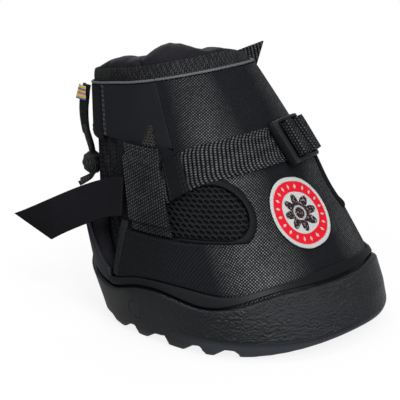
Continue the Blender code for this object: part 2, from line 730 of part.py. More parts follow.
def pad_section(angle, fullness):
    """Section of a collar roll as (stand, height) pairs, beside the lining and over the band's edge."""
    mean = piping_height(angle)
    beside_lining = -(LINING_INNER + FIT_GAP)
    beside_band = -(BAND_THICKNESS + 2 * FIT_GAP)
    band_top = mean + band_rise(angle) + FIT_GAP
    right_side = angle % 360 > 180
    crest_share = share_at(angle, PAD_RIGHT_shares if right_side else PAD_LEFT_shares)
    crest = band_top + PAD_LOW_CREST + PAD_CREST * crest_share * fullness
    inside = beside_lining - PAD_DEPTH * fullness
    middle = lerp(inside, beside_lining, 0.5)
    low = mean - PAD_DROP
    return [(beside_lining, low + PAD_DROP / 5), (beside_lining, mean - BAND_DROP - FIT_GAP),
            (beside_lining, lerp(mean, band_top, 0.3)), (beside_band - FIT_GAP, band_top),
            (-PAD_OVERHANG, lerp(band_top, crest, 0.45)),
            (lerp(-PAD_OVERHANG, inside, 0.25), lerp(band_top, crest, 0.9)),
            (middle, crest), (lerp(middle, inside, 0.65), lerp(band_top, crest, 0.75)),
            (inside, lerp(mean, band_top, 0.5)), (lerp(inside, middle, 0.25), lerp(low, mean, 0.45)),
            (middle, low + PAD_DROP / 12), (lerp(middle, beside_lining, 0.6), low)]


def make_pad(name, start, end):
    """A roll between two sewn creases, narrower at its ends."""
    angles = columns(start + PAD_SLIT_ANGLE / 2, end - PAD_SLIT_ANGLE / 2)
    loops = []
    for a in angles:
        from_end = min(a - start, end - a) / PAD_END_ANGLE
        fullness = lerp(PAD_END_share, 1.0, ease(from_end))
        loops.append([wall_point(a, h, s) for s, h in pad_section(a, fullness)])
    loft(name, loops, PAD_CLOTH)


def make_pads():
    make_pad("collar_pad_front", -PAD_RIGHT_CREASE_ANGLE, PAD_FRONT_ANGLE)
    make_pad("collar_pad_left", PAD_FRONT_ANGLE, PAD_REAR_ANGLE)
    make_pad("collar_pad_rear", PAD_REAR_ANGLE, 360 - PAD_REAR_ANGLE)
    make_pad("collar_pad_right", -PAD_REAR_ANGLE, -PAD_RIGHT_CREASE_ANGLE)


def make_piping(name, start, end):
    sides = 6
    loops = []
    for a in columns(start, end):
        loop = []
        for k in range(sides):
            turn = radians(360 * (k + 0.5) / sides)
            height = piping_height(a) + FIT_GAP + PIPING_RADIUS * (1 + sin(turn))
            loop.append(wall_point(a, height, SHELL_CLOTH / 2 + PIPING_RADIUS * cos(turn) + FIT_GAP))
        loops.append(loop)
    loft(name, loops, PIPING_CLOTH)


def make_all_piping():
    front = CUFF_FRONT_ANGLE - CUFF_SLIT_ANGLE
    make_piping("piping_front", -front, front)
    make_piping("piping_left", CUFF_FRONT_ANGLE, CUFF_REAR_ANGLE)
    make_piping("piping_right", -CUFF_REAR_ANGLE, -CUFF_FRONT_ANGLE)
    make_piping("piping_rear", REAR_PANEL_START_ANGLE, 360 - REAR_PANEL_START_ANGLE)


def strap_height(angle):
    return STRAP_FRONT_HEIGHT * share_at(angle, STRAP_HEIGHT_shares)


def strap_half_height(angle):
    """Half of the webbing's width, as height: the wall leans most at the toe."""
    up = wall_point(angle, strap_height(angle) + STRAP_WIDTH / 4)
    down = wall_point(angle, strap_height(angle) - STRAP_WIDTH / 4)
    return STRAP_WIDTH / 2 * (up.z - down.z) / (up - down).length


def strap_grid(start, end, grow=0.0):
    half = 1 + grow
    return band_grid(columns(start, end), lambda a: strap_height(a) - strap_half_height(a) * half,
                     lambda a: strap_height(a) + strap_half_height(a) * half, 2)


def make_keeper(side, name):
    low_strap = strap_height(KEEPER_REAR_ANGLE) - strap_half_height(KEEPER_REAR_ANGLE) - 2 * FIT_GAP
    high_strap = strap_height(KEEPER_FRONT_ANGLE) + strap_half_height(KEEPER_FRONT_ANGLE) + 2 * FIT_GAP
    rise = KEEPER_STITCHED
    stations = [(KEEPER_BOTTOM_HEIGHT, 0), (low_strap - rise, 0), (low_strap, 1),
                (lerp(low_strap, high_strap, 0.33), 1), (lerp(low_strap, high_strap, 0.67), 1),
                (high_strap, 1), (high_strap + rise / 2, 0), (KEEPER_TOP_HEIGHT, 0)]
    arch = WEBBING + FIT_GAP
    loops = []
    for height, raised in stations:
        lean = KEEPER_LEAN_ANGLE * (KEEPER_TOP_HEIGHT - height) / (KEEPER_TOP_HEIGHT - KEEPER_BOTTOM_HEIGHT)
        front, rear = KEEPER_FRONT_ANGLE + lean, KEEPER_REAR_ANGLE + lean / 4
        angles = [side * lerp(front, rear, k / 3) for k in range(4)]
        inner = WEBBING_INNER + arch * raised
        outer = inner + KEEPER_WEBBING
        loops.append([wall_point(a, height, outer) for a in angles]
                     + [wall_point(a, height, inner) for a in reversed(angles)])
    loft(f"keeper_{name}", loops, WEBBING_CLOTH)


def ribbon(name, path, ups, width, thickness, finish, cut_back=0.0):
    """A flat strap along a path of points. ups gives the direction of its width at each point."""
    loops = []
    last = len(path) - 1
    for k, (point, up) in enumerate(zip(path, ups)):
        along = (path[min(k + 1, last)] - path[max(k - 1, 0)]).normalized()
        across = (up - along * up.dot(along)).normalized()
        normal = along.cross(across).normalized()
        slip = along * cut_back * (k / last) ** 2
        top = point + across * width / 2
        bottom = point - across * width / 2 - slip
        loops.append([top + normal * thickness / 2, top - normal * thickness / 2,
                      bottom - normal * thickness / 2, bottom + normal * thickness / 2])
    return loft(name, loops, finish)


def bezier(p0, p1, p2, p3, count):
    points = []
    for k in range(count + 1):
        t = k / count
        points.append(p0 * (1 - t) ** 3 + p1 * 3 * t * (1 - t) ** 2 + p2 * 3 * t ** 2 * (1 - t) + p3 * t ** 3)
    return points


def tail_path(side):
    forward, outward, upward = TAIL_HEADING_shares
    heading = Vector((forward, side * outward, upward)).normalized()
    root_height = strap_height(TAIL_ROOT_ANGLE)
    stand = WEBBING_INNER + BINDING_THICKNESS + FIT_GAP + TAIL_THICKNESS / 2
    root = wall_point(side * TAIL_ROOT_ANGLE, root_height, stand)
    further = TAIL_ROOT_ANGLE + COLUMN_STEP
    behind = wall_point(side * further, strap_height(further), stand)
    away = (behind - root).normalized()
    tip = root + heading * TAIL_LENGTH
    return bezier(root, root + away * TAIL_LENGTH / 4, tip - heading * TAIL_LENGTH / 3, tip, BEND_STEPS)


def make_straps():
    for side, name in ((-1, "right"), (1, "left")):
        front = STRAP_RIGHT_FRONT_ANGLE if side < 0 else -STRAP_LEFT_FRONT_ANGLE
        grid = strap_grid(-STRAP_END_ANGLE, front)
        grid = [[(-side * a, h) for a, h in column] for column in grid]
        wall_sheet(f"strap_{name}", grid, WEBBING_INNER, WEBBING_OUTER, WEBBING_CLOTH)
        grid = strap_grid(-FOLD_REAR_ANGLE, -FOLD_FRONT_ANGLE, FOLD_GROWTH_share)
        grid = [[(-side * a, h) for a, h in column] for column in grid]
        fold_inner = WEBBING_OUTER + FIT_GAP
        wall_sheet(f"strap_fold_{name}", grid, fold_inner, fold_inner + FOLD_THICKNESS, HOOK_TAPE)
        make_keeper(side, name)
        path = tail_path(side)
        root_height = strap_height(TAIL_ROOT_ANGLE)
        lean = (wall_point(side * TAIL_ROOT_ANGLE, root_height + STRAP_WIDTH / 2)
                - wall_point(side * TAIL_ROOT_ANGLE, root_height - STRAP_WIDTH / 2)).normalized()
        upright = Vector((0.0, 0.0, 1.0))
        ups = [lean.lerp(upright, ease(k / BEND_STEPS)) for k in range(BEND_STEPS + 1)]
        ribbon(f"strap_tail_{name}", path, ups, STRAP_WIDTH, TAIL_THICKNESS, HOOK_TAPE, TAIL_CUT)


def lock_frame():
    """Axes of the ladder lock from its underside's middle: along the strap, up its width, off the boot."""
    at = wall_point(LOCK_ANGLE, LOCK_HEIGHT)
    u = (wall_point(LOCK_ANGLE + 1, LOCK_HEIGHT) - wall_point(LOCK_ANGLE - 1, LOCK_HEIGHT)).normalized()
    up = wall_point(LOCK_ANGLE, LOCK_HEIGHT + FIT_GAP) - wall_point(LOCK_ANGLE, LOCK_HEIGHT - FIT_GAP)
    v = (up - u * up.dot(u)).normalized()
    n = u.cross(v).normalized()
    lift = WEBBING_OUTER + LOOP_CLEARANCE
    frame = Matrix((u, v, n)).transposed().to_4x4()
    frame.translation = at + n * lift
    return frame


def lock_sag(u):
    """How far the lock's underside drops towards its ends, to follow the round of the boot."""
    return -u * u / (2 * LOCK_BEND_RADIUS)


LOCK_HALF_LENGTH = LOCK_LENGTH / 2
LOCK_WIDTH = STRAP_WIDTH + 2 * (LOOP_CLEARANCE + LOCK_RAIL)
FAR_BAR_CENTRE = LOCK_HALF_LENGTH - LOCK_FAR_BAR / 2


def make_ladder_lock():
    frame = lock_frame()
    half_width = LOCK_WIDTH / 2
    corner = LOCK_THICKNESS / 4
    loops = []
    for k in range(BEND_STEPS + 1):
        u = lerp(-LOCK_HALF_LENGTH, LOCK_HALF_LENGTH, k / BEND_STEPS)
        base = lock_sag(u)
        lip = LOCK_LIP_RISE * max(0.0, 1 - k / (BEND_STEPS * LOCK_LIP_share))
        low, high = base + lip / 2, base + LOCK_THICKNESS + lip
        section = ((-half_width, low + corner), (-half_width + corner, low), (half_width - corner, low),
                   (half_width, low + corner), (half_width, high - corner), (half_width - corner, high),
                   (-half_width + corner, high), (-half_width, high - corner))
        loops.append([frame @ Vector((u, v, n)) for v, n in section])
    lock = loft("ladder_lock", loops, BLACK_PLASTIC)
    slot_half = STRAP_WIDTH / 2 + LOOP_CLEARANCE
    near = (-LOCK_HALF_LENGTH + LOCK_NEAR_BAR, -LOCK_MIDDLE_BAR / 2)
    far = (LOCK_MIDDLE_BAR / 2, LOCK_HALF_LENGTH - LOCK_FAR_BAR)
    slots = []
    for name, (start, end) in (("near", near), ("far", far)):
        loops = [[frame @ Vector((u, v, n)) for u, v in ((start, -slot_half), (end, -slot_half),
                                                        (end, slot_half), (start, slot_half))]
                 for n in (-CUT_OVERRUN, CUT_OVERRUN + LOCK_THICKNESS)]
        slots.append(loft(f"lock_slot_{name}", loops, CUTTER))
    cut(lock, *slots)
    make_webbing_turn(frame)
    make_lock_loop(frame)


def arc_places(centre, reach, start, end, count):
    """Places on a squarish arc round a bar, as (u, n) pairs."""
    places = []
    for k in range(count + 1):
        turn = radians(lerp(start, end, k / count))
        places.append((centre[0] + reach[0] * signed_power(cos(turn), BAR_SQUARENESS_share),
                       centre[1] + reach[1] * signed_power(sin(turn), BAR_SQUARENESS_share)))
    return places


def make_webbing_turn(frame):
    """The strap's turn over the middle bar, which lifts with the lock."""
    reach = (LOCK_MIDDLE_BAR / 2 + FIT_GAP + LOOP_THICKNESS / 2,
             LOCK_THICKNESS / 2 + FIT_GAP + LOOP_THICKNESS / 2)
    places = arc_places((0.0, LOCK_THICKNESS / 2), reach, 180, 0, BEND_STEPS)
    foot = LOOP_THICKNESS / 4
    places = [(-reach[0], foot)] + places + [(reach[0], foot)]
    path = [frame @ Vector((u, 0.0, n)) for u, n in places]
    across = frame.to_3x3() @ Vector((0.0, 1.0, 0.0))
    ribbon("strap_turn", path, [across] * len(path), STRAP_WIDTH, LOOP_THICKNESS, WEBBING_CLOTH)


def wall_up(angle, height):
    """The direction up the wall at a place."""
    step = STRAP_WIDTH / 4
    return (wall_point(angle, height + step) - wall_point(angle, height - step)).normalized()


def make_lock_loop(frame):
    """The sewn loop that holds the far bar. Its two tails lie together on the boot."""
    reach = (LOCK_FAR_BAR / 2 + BAR_CLEARANCE + LOOP_THICKNESS / 2,
             LOCK_THICKNESS / 2 + BAR_CLEARANCE + LOOP_THICKNESS / 2)
    middle = lock_sag(FAR_BAR_CENTRE) + LOCK_THICKNESS / 2
    places = arc_places((FAR_BAR_CENTRE, middle), reach, LOOP_TURN_START, LOOP_TURN_END, BEND_STEPS + 4)
    places.append((FAR_BAR_CENTRE + reach[0], middle - reach[1]))
    path = [frame @ Vector((u, 0.0, n)) for u, n in places]
    across = frame.to_3x3() @ Vector((0.0, 1.0, 0.0))
    ups = [across] * len(path)
    lower = WEBBING_INNER + LOOP_THICKNESS / 2
    upper = lower + LOOP_THICKNESS + FIT_GAP
    angles = (LOOP_END_ANGLE, lerp(LOOP_END_ANGLE, LOOP_BEND_ANGLE, 0.5), LOOP_BEND_ANGLE)
    over = [(wall_point(a, strap_height(a), upper), wall_up(a, strap_height(a))) for a in angles]
    under = [(wall_point(a, strap_height(a), lower), wall_up(a, strap_height(a))) for a in reversed(angles)]
    path = [p for p, up in over] + path + [p for p, up in under]
    ups = [up for p, up in over] + ups + [up for p, up in under]
    ribbon("buckle_loop", path, ups, STRAP_WIDTH, LOOP_THICKNESS, WEBBING_CLOTH)


def make_badge():
    """A round sewn badge, laid on the front of the shell."""
    outline = []
    centre = wall_point(BADGE_ANGLE, BADGE_HEIGHT)
    step = COLUMN_STEP
    left, right = (wall_point(BADGE_ANGLE + turn, BADGE_HEIGHT) for turn in (step, -step))
    degrees = 2 * step / (left - right).length
    up = wall_point(BADGE_ANGLE, BADGE_HEIGHT + BADGE_RADIUS / 2) - centre
    rise = up.z / up.length
    for k in range(2 * OUTLINE_STEPS):
        turn = 2 * pi * k / (2 * OUTLINE_STEPS)
        outline.append((BADGE_ANGLE + BADGE_RADIUS * cos(turn) * degrees,
                        BADGE_HEIGHT + BADGE_RADIUS * sin(turn) * rise))
    wall_patch("badge_patch", outline, (BADGE_ANGLE, BADGE_HEIGHT), WEBBING_INNER,
               WEBBING_INNER + BADGE_THICKNESS, BADGE_CLOTH)


def make_cuff_tab():
    """The hook tab at the rear edge of the left cuff: a sewn foot, and a free end that stands out."""
    stand = SHELL_CLOTH + 2 * FIT_GAP + TAB_THICKNESS / 2
    angles = [lerp(TAB_SEWN_ANGLE, CUFF_REAR_ANGLE, k / 3) for k in range(4)]
    sewn = [wall_point(a, TAB_HEIGHT, stand) for a in angles]
    leans = [wall_up(a, TAB_HEIGHT) for a in angles]
    ribbon("tab_foot", sewn, leans, TAB_WIDTH, TAB_THICKNESS, WEBBING_CLOTH)
    heading = Vector((TAB_FORWARD_share, 1.0, TAB_RISE_share)).normalized()
    start, fold = tab_root()
    free = [start + heading * TAB_LENGTH * k / BEND_STEPS for k in range(BEND_STEPS + 1)]
    upright = Vector((0.0, 0.0, 1.0))
    ups = [fold.lerp(upright, ease(3 * k / BEND_STEPS)) for k in range(BEND_STEPS + 1)]
    ribbon("cuff_tab", free, ups, TAB_WIDTH, TAB_THICKNESS, WEBBING_CLOTH, TAB_CUT)


def tab_root():
    """Middle and direction of the tab's fold, just behind its sewn foot."""
    stand = SHELL_CLOTH + 2 * FIT_GAP + TAB_THICKNESS / 2
    foot = wall_point(CUFF_REAR_ANGLE, TAB_HEIGHT, stand)
    travel = (foot - wall_point(CUFF_REAR_ANGLE - 1, TAB_HEIGHT, stand)).normalized()
    heading = Vector((TAB_FORWARD_share, 1.0, TAB_RISE_share)).normalized()
    fold = heading.cross(travel).normalized()
    across = heading.cross(fold)
    return foot + travel * (TAB_THICKNESS / 2 + FIT_GAP) - across * TAB_THICKNESS / 2, fold


def pull_frame():
    """Axes at the top of the pull: across the heel, away from the boot, and up."""
    at = wall_point(PULL_ANGLE, PULL_TOP_HEIGHT)
    out = wall_point(PULL_ANGLE, PULL_TOP_HEIGHT, 1.0) - wall_point(PULL_ANGLE, PULL_TOP_HEIGHT, 0.0)
    out.normalize()
    up = Vector((0.0, 0.0, 1.0))
    across = out.cross(up).normalized()
    frame = Matrix((across, out, up)).transposed().to_4x4()
    frame.translation = at + out * (SHELL_CLOTH + FIT_GAP + PULL_TAPE_THICKNESS / 2)
    return frame


def tube(name, points, diameter, finish):
    sides = 8
    last = len(points) - 1
    loops = []
    for k, point in enumerate(points):
        along = (points[min(k + 1, last)] - points[max(k - 1, 0)]).normalized()
        if k == 0:
            along = Vector((0.0, 0.0, -1.0))
        side = along.cross(Vector((0.0, 1.0, 0.0))).normalized()
        other = along.cross(side).normalized()
        loops.append([point + (side * cos(2 * pi * j / sides) + other * sin(2 * pi * j / sides)) * diameter / 2
                      for j in range(sides)])
    loft(name, loops, finish)


def make_pull():
    frame = pull_frame()
    half = PULL_TAPE_THICKNESS / 2
    loops = []
    for k in range(5):
        share = k / 4
        width = lerp(PULL_TAPE_WIDTH, PULL_TAPE_FOOT_WIDTH, share) / 2
        drop = -PULL_LENGTH * share
        corners = ((-width, -half), (width, -half), (width, half), (-width, half))
        loops.append([frame @ Vector((x, y, drop)) for x, y in corners])
    loft("pull_tape", loops, HOOK_TAPE)
    near = half + FIT_GAP
    far, edge = near + LABEL_THICKNESS, LABEL_WIDTH / 2
    loops = []
    for drop in (-LABEL_DROP, -LABEL_DROP - LABEL_HEIGHT):
        corners = ((-edge, near), (edge, near), (edge, far), (-edge, far))
        loops.append([frame @ Vector((x, y, drop)) for x, y in corners])
    loft("pull_label", loops, LABEL_CLOTH)
    foot = -PULL_LENGTH
    knot_top = foot - CORD_DROP
    knot_rise = sqrt(KNOT_DIAMETER ** 2 - KNOT_FLAT_DIAMETER ** 2) / 2
    knot_foot = knot_top - 2 * knot_rise
    for side, name in ((-1, "a"), (1, "b")):
        strand = [Vector((side * CORD_SPREAD / 2, 0.0, lerp(foot, knot_top, k / 3))) for k in range(4)]
        tube(f"pull_cord_{name}", [frame @ p for p in strand], CORD_DIAMETER, CORD_BRAID)
        start = Vector((side * CORD_SPREAD / 2, 0.0, knot_foot))
        bend = start + Vector((0.0, 0.0, -CORD_END_LENGTH / 2))
        end = start + Vector((side * CORD_END_SPREAD / 2, CORD_END_KICK, -CORD_END_LENGTH))
        points = [start] + bezier(start, bend, bend, end, 4)[1:]
        tube(f"cord_end_{name}", [frame @ p for p in points], CORD_DIAMETER, CORD_BRAID)
    loops = []
    for k in range(BEND_STEPS + 1):
        height = lerp(-knot_rise, knot_rise, k / BEND_STEPS)
        radius = sqrt(KNOT_DIAMETER ** 2 / 4 - height ** 2)
        turns = [2 * pi * j / OUTLINE_STEPS for j in range(OUTLINE_STEPS)]
        middle = knot_top - knot_rise + height
        loops.append([frame @ Vector((radius * cos(t), radius * sin(t), middle)) for t in turns])
    loft("pull_knot", loops, CORD_BRAID)


def main():
    for old in list(bpy.data.objects):
        bpy.data.objects.remove(old)
    make_outsole()
    make_insole()
    make_rubber_bands()
    make_upper()
    make_cuffs()
    make_rear()
    make_band()
    make_pads()
    make_all_piping()
    make_straps()
    make_ladder_lock()
    make_badge()
    make_cuff_tab()
    make_pull()


main()
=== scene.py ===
import json
import bpy
import bmesh
from math import ceil, cos, exp, pi, radians, sin, sqrt
from mathutils import Matrix, Vector

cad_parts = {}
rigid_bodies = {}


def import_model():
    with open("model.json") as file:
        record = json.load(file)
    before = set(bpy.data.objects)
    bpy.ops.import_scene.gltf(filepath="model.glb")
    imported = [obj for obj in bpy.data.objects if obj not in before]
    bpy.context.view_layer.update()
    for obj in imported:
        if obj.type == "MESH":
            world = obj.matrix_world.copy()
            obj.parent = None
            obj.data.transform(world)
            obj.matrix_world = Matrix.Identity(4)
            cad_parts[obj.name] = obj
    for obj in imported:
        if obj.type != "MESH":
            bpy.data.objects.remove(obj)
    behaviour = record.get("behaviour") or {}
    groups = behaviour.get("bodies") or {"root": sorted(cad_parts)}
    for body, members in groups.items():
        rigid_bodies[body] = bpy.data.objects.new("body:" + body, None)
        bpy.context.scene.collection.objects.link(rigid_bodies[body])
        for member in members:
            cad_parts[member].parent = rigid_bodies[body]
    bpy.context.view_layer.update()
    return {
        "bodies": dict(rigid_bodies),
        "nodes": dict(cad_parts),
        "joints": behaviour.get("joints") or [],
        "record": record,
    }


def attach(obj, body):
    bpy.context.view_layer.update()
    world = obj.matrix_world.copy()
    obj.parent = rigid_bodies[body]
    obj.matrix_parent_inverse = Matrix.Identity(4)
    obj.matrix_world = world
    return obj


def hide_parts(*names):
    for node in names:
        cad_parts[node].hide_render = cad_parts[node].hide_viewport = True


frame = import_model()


# The boot's shape. Lengths are in metres and angles in degrees round the boot, from the toe to the left

FIT_GAP = 0.0003
LOOP_CLEARANCE = 0.0006
LAST_HEIGHT, LAST_REACH = 0.010, (0.065, 0.071, 0.061)
BASE_HEIGHT, BASE_REACH = 0.026, (0.0605, 0.079, 0.065)
WAIST_HEIGHT, WAIST_REACH = 0.070, (0.0322, 0.088, 0.0545)
TOP_HEIGHT, TOP_REACH = 0.126, (-0.0093, 0.099, 0.039)
SHELL_CLOTH = 0.0019
OVERLAY_FOOT = SHELL_CLOTH + FIT_GAP
WEBBING = 0.0018
WEBBING_OUTER = OVERLAY_FOOT + WEBBING
STRAP_WIDTH = 0.020
RIM_STAND = OVERLAY_FOOT + 0.0032
UPPER_FOOT, LINING_THICKNESS, LINING_DROP = 0.0103, 0.0029, 0.0053
TOE_SQUARENESS, HEEL_SQUARENESS = 2.3, (2.7, 2.2)
PIPING_MEAN, PIPING_SLOPE, BAND_RISE = 0.124, 0.0075, 0.008
RIM_HEIGHT, RAND_HEIGHT, COUNTER_HEIGHT, STRAP_FRONT_HEIGHT = 0.033, 0.039, 0.057, 0.0955
VAMP_LOW, VAMP_HIGH = (107.0, 0.0315), (97.0, 0.062)
CUFF_FRONT, CUFF_REAR, CUFF_BOTTOM = 64.0, 109.5, 0.0970
CUFF_SEAM = CUFF_FRONT - 0.7
PANEL_START, PANEL_BOTTOM = 110.8, 0.0935
GAITER_START = 97.8
KEEPER_FRONT, KEEPER_REAR, KEEPER_LEAN = 71.5, 91.2, 2.4
KEEPER_BOTTOM, KEEPER_TOP = 0.0562, 0.0966
COUNTER_START = 108.6
BADGE_ANGLE, BADGE_HEIGHT, BADGE_RADIUS = -4.5, 0.0645, 0.0207
WINDOW_LOW, WINDOW_HIGH, WINDOW_REAR_TOP = 0.0556, 0.0818, 0.0732
WINDOW_REAR, WINDOW_NOSE, WINDOW_NOSE_SPAN = 75.5, 47.5, 16
WINDOW_RIM_WIDTH, WINDOW_METRES_PER_DEGREE = 0.0034, 0.00095
PAD_CREASES = (-134.0, -76.0, 12.0, 134.0)

# Curves round the boot: pairs of an angle and a share of the height or width that they shape
RIM_WAVE = ((0, 1.0), (30, 0.98), (63, 0.765), (88, 0.885), (107, 0.715), (126, 0.82), (150, 0.94), (180, 0.97))
RAND_TOP = ((0, 1.0), (26, 0.95), (40, 0.885), (55, 0.81), (75, 0.87), (90, 0.865), (106, 0.74), (180, 0.7))
COUNTER_TOP = ((0, 0.4), (108, 0.56), (119, 0.70), (132, 0.885), (152, 0.98), (180, 1.0))
STRAP_PATH = ((0, 1.0), (25, 0.985), (45, 0.958), (60, 0.912), (75, 0.832), (90, 0.746), (180, 0.66))
BAND_LEFT = ((0, 1.0), (20, 0.84), (45, 0.72), (90, 0.8), (125, 1.0), (180, 1.0))
PAD_RIGHT = ((0, 0.04), (8, 0.0), (17, 0.26), (27, 0.66), (39, 0.88), (52, 0.84), (64, 0.68), (76, 0.42),
             (88, 0.55), (104, 0.60), (120, 0.37), (134, 0.10), (150, 0.13), (165, 0.20), (180, 0.20))
PAD_LEFT = ((0, 0.04), (12, 0.06), (24, 0.0), (90, 0.0), (108, 0.24), (122, 0.26), (134, 0.10), (150, 0.13),
            (165, 0.20), (180, 0.20))


def lerp(start, end, share):
    return start + (end - start) * share


def clamp(value):
    return max(0.0, min(1.0, value))


def ease(value):
    value = clamp(value)
    return value * value * (3.0 - 2.0 * value)


def signed_power(value, power):
    return (1 if value >= 0 else -1) * abs(value) ** power


def spread(start, end, step):
    """Values from start to end, about a step apart."""
    count = max(1, ceil(abs(end - start) / step))
    return [lerp(start, end, k / count) for k in range(count + 1)]


def share_at(angle, shares):
    """A smooth curve through (angle, share) pairs, level at the toe and at the heel."""
    angle = abs(angle)
    if angle > 180:
        angle = 360 - angle
    last = len(shares) - 1
    slopes = [0.0] * len(shares)
    for k in range(1, last):
        slopes[k] = (shares[k + 1][1] - shares[k - 1][1]) / (shares[k + 1][0] - shares[k - 1][0])
    for k in range(last):
        (a0, s0), (a1, s1) = shares[k], shares[k + 1]
        if angle <= a1:
            break
    span = a1 - a0
    t = (angle - a0) / span
    return ((2 * t ** 3 - 3 * t ** 2 + 1) * s0 + (t ** 3 - 2 * t ** 2 + t) * span * slopes[k]
            + (3 * t ** 2 - 2 * t ** 3) * s1 + (t ** 3 - t ** 2) * span * slopes[k + 1])


def wall_reach(height):
    """How far the lasted wall reaches to the front, the rear and the side at a height."""
    if height <= BASE_HEIGHT:
        share = clamp((height - LAST_HEIGHT) / (BASE_HEIGHT - LAST_HEIGHT))
        return tuple(lerp(a, b, share) for a, b in zip(LAST_REACH, BASE_REACH))
    reach = []
    for low, middle, high in zip(BASE_REACH, WAIST_REACH, TOP_REACH):
        rise = (middle - low) / (WAIST_HEIGHT - BASE_HEIGHT)
        bend = ((high - middle) / (TOP_HEIGHT - WAIST_HEIGHT) - rise) / (TOP_HEIGHT - BASE_HEIGHT)
        reach.append(low + rise * (height - BASE_HEIGHT) + bend * (height - BASE_HEIGHT) * (height - WAIST_HEIGHT))
    return reach


def wall(angle, height, stand=0.0):
    """The point at an angle round the boot and a height, standing out from the lasted wall."""
    front, rear, side = wall_reach(height)
    along, across = cos(radians(angle)), sin(radians(angle))
    heel_share = clamp((height - LAST_HEIGHT) / (TOP_HEIGHT - LAST_HEIGHT))
    power = 2.0 / (TOE_SQUARENESS if along > 0 else lerp(*HEEL_SQUARENESS, heel_share))
    x = (front - rear) / 2 + ((front + rear) / 2 + stand) * signed_power(along, power)
    return Vector((x, (side + stand) * signed_power(across, power), height))


def piping_height(angle):
    return PIPING_MEAN + PIPING_SLOPE * cos(radians(angle))


def lining_top(angle):
    return piping_height(angle) - LINING_DROP


def band_rise(angle):
    return BAND_RISE * (share_at(angle, BAND_LEFT) if 0 < angle % 360 < 180 else 1.0)


def rim_height(angle):
    return RIM_HEIGHT * share_at(angle, RIM_WAVE)


def rand_top(angle):
    return RAND_HEIGHT * share_at(angle, RAND_TOP)


def counter_top(angle):
    return COUNTER_HEIGHT * share_at(angle, COUNTER_TOP)


def vamp_edge(height):
    """The angle at which the vamp ends at a height."""
    share = clamp((height - VAMP_LOW[1]) / (VAMP_HIGH[1] - VAMP_LOW[1]))
    return lerp(VAMP_LOW[0], VAMP_HIGH[0], share)


def strap_height(angle):
    return STRAP_FRONT_HEIGHT * share_at(angle, STRAP_PATH)


def strap_half(angle):
    """Half the height that the strap takes up on the sloping wall."""
    up = wall(angle, strap_height(angle) + STRAP_WIDTH / 4)
    down = wall(angle, strap_height(angle) - STRAP_WIDTH / 4)
    return STRAP_WIDTH / 2 * (up.z - down.z) / (up - down).length


def window_edge(shrink=0.0, steps=20):
    """The D of a side window as (angle, height) places for the left side, from its lower rear corner."""
    low, high = WINDOW_LOW + shrink, WINDOW_HIGH - shrink
    middle, half = (low + high) / 2, (high - low) / 2
    degrees = shrink / WAIST_REACH[2] * 180 / pi * 1.3
    rear, nose, span = WINDOW_REAR - degrees, WINDOW_NOSE, WINDOW_NOSE_SPAN - degrees
    rear_top = WINDOW_REAR_TOP - shrink
    points = [(lerp(rear, nose, k / 6), low) for k in range(6)]
    for k in range(steps + 1):
        turn = radians(-90 + 180 * k / steps)
        points.append((nose - span * cos(turn), middle + half * sin(turn)))
    points += [(lerp(nose, rear, k / 6), lerp(high, rear_top, (k / 6) ** 1.6)) for k in range(1, 6)]
    points += [(rear, lerp(rear_top, low, k / 4)) for k in range(4)]
    return points


# Materials

class Net:
    """Short ways to add and join the nodes of a material or of an effect."""

    def __init__(self, tree):
        self.tree = tree

    def give(self, place, value):
        if isinstance(value, bpy.types.NodeSocket):
            self.tree.links.new(value, place)
        else:
            place.default_value = value

    def add(self, kind, *inputs, **settings):
        node = self.tree.nodes.new("ShaderNode" + kind)
        for key, value in settings.items():
            setattr(node, key, value)
        for k, value in enumerate(inputs):
            if value is not None:
                self.give(node.inputs[k], value)
        return node

    def math(self, operation, *values, clamped=False):
        return self.add("Math", *values, operation=operation, use_clamp=clamped).outputs[0]

    def times(self, *values, clamped=False):
        return self.math('MULTIPLY', *values, clamped=clamped)

    def plus(self, *values, clamped=False):
        return self.math('ADD', *values, clamped=clamped)

    def minus(self, *values):
        return self.math('SUBTRACT', *values)

    def size(self, value):
        return self.math('ABSOLUTE', value)

    def vector(self, operation, *values):
        return self.add("VectorMath", *values, operation=operation).outputs[0]

    def combine(self, *values):
        return self.add("CombineXYZ", *values).outputs[0]

    def split(self, vector):
        return list(self.add("SeparateXYZ", vector).outputs)

    def noise(self, vector, scale, detail=3.0):
        node = self.add("TexNoise")
        for name, value in (("Vector", vector), ("Scale", scale), ("Detail", detail)):
            self.give(node.inputs[name], value)
        return node.outputs[0]

    def cells(self, vector, scale):
        node = self.add("TexVoronoi")
        self.give(node.inputs["Vector"], vector)
        self.give(node.inputs["Scale"], scale)
        return node.outputs["Distance"]

    def ramp(self, value, low, high, out_low=0.0, out_high=1.0):
        return self.add("MapRange", value, low, high, out_low, out_high).outputs[0]

    def blend(self, share, first, second):
        node = self.add("Mix", data_type='RGBA')
        self.give(node.inputs[0], share)
        for place, value in ((node.inputs[6], first), (node.inputs[7], second)):
            self.give(place, (*value, 1.0) if isinstance(value, tuple) else value)
        return node.outputs[2]

    def effect(self, group, **values):
        node = self.tree.nodes.new("ShaderNodeGroup")
        node.node_tree = group.tree
        for name, value in values.items():
            self.give(node.inputs[name.replace("_", " ")], value)
        return node.outputs


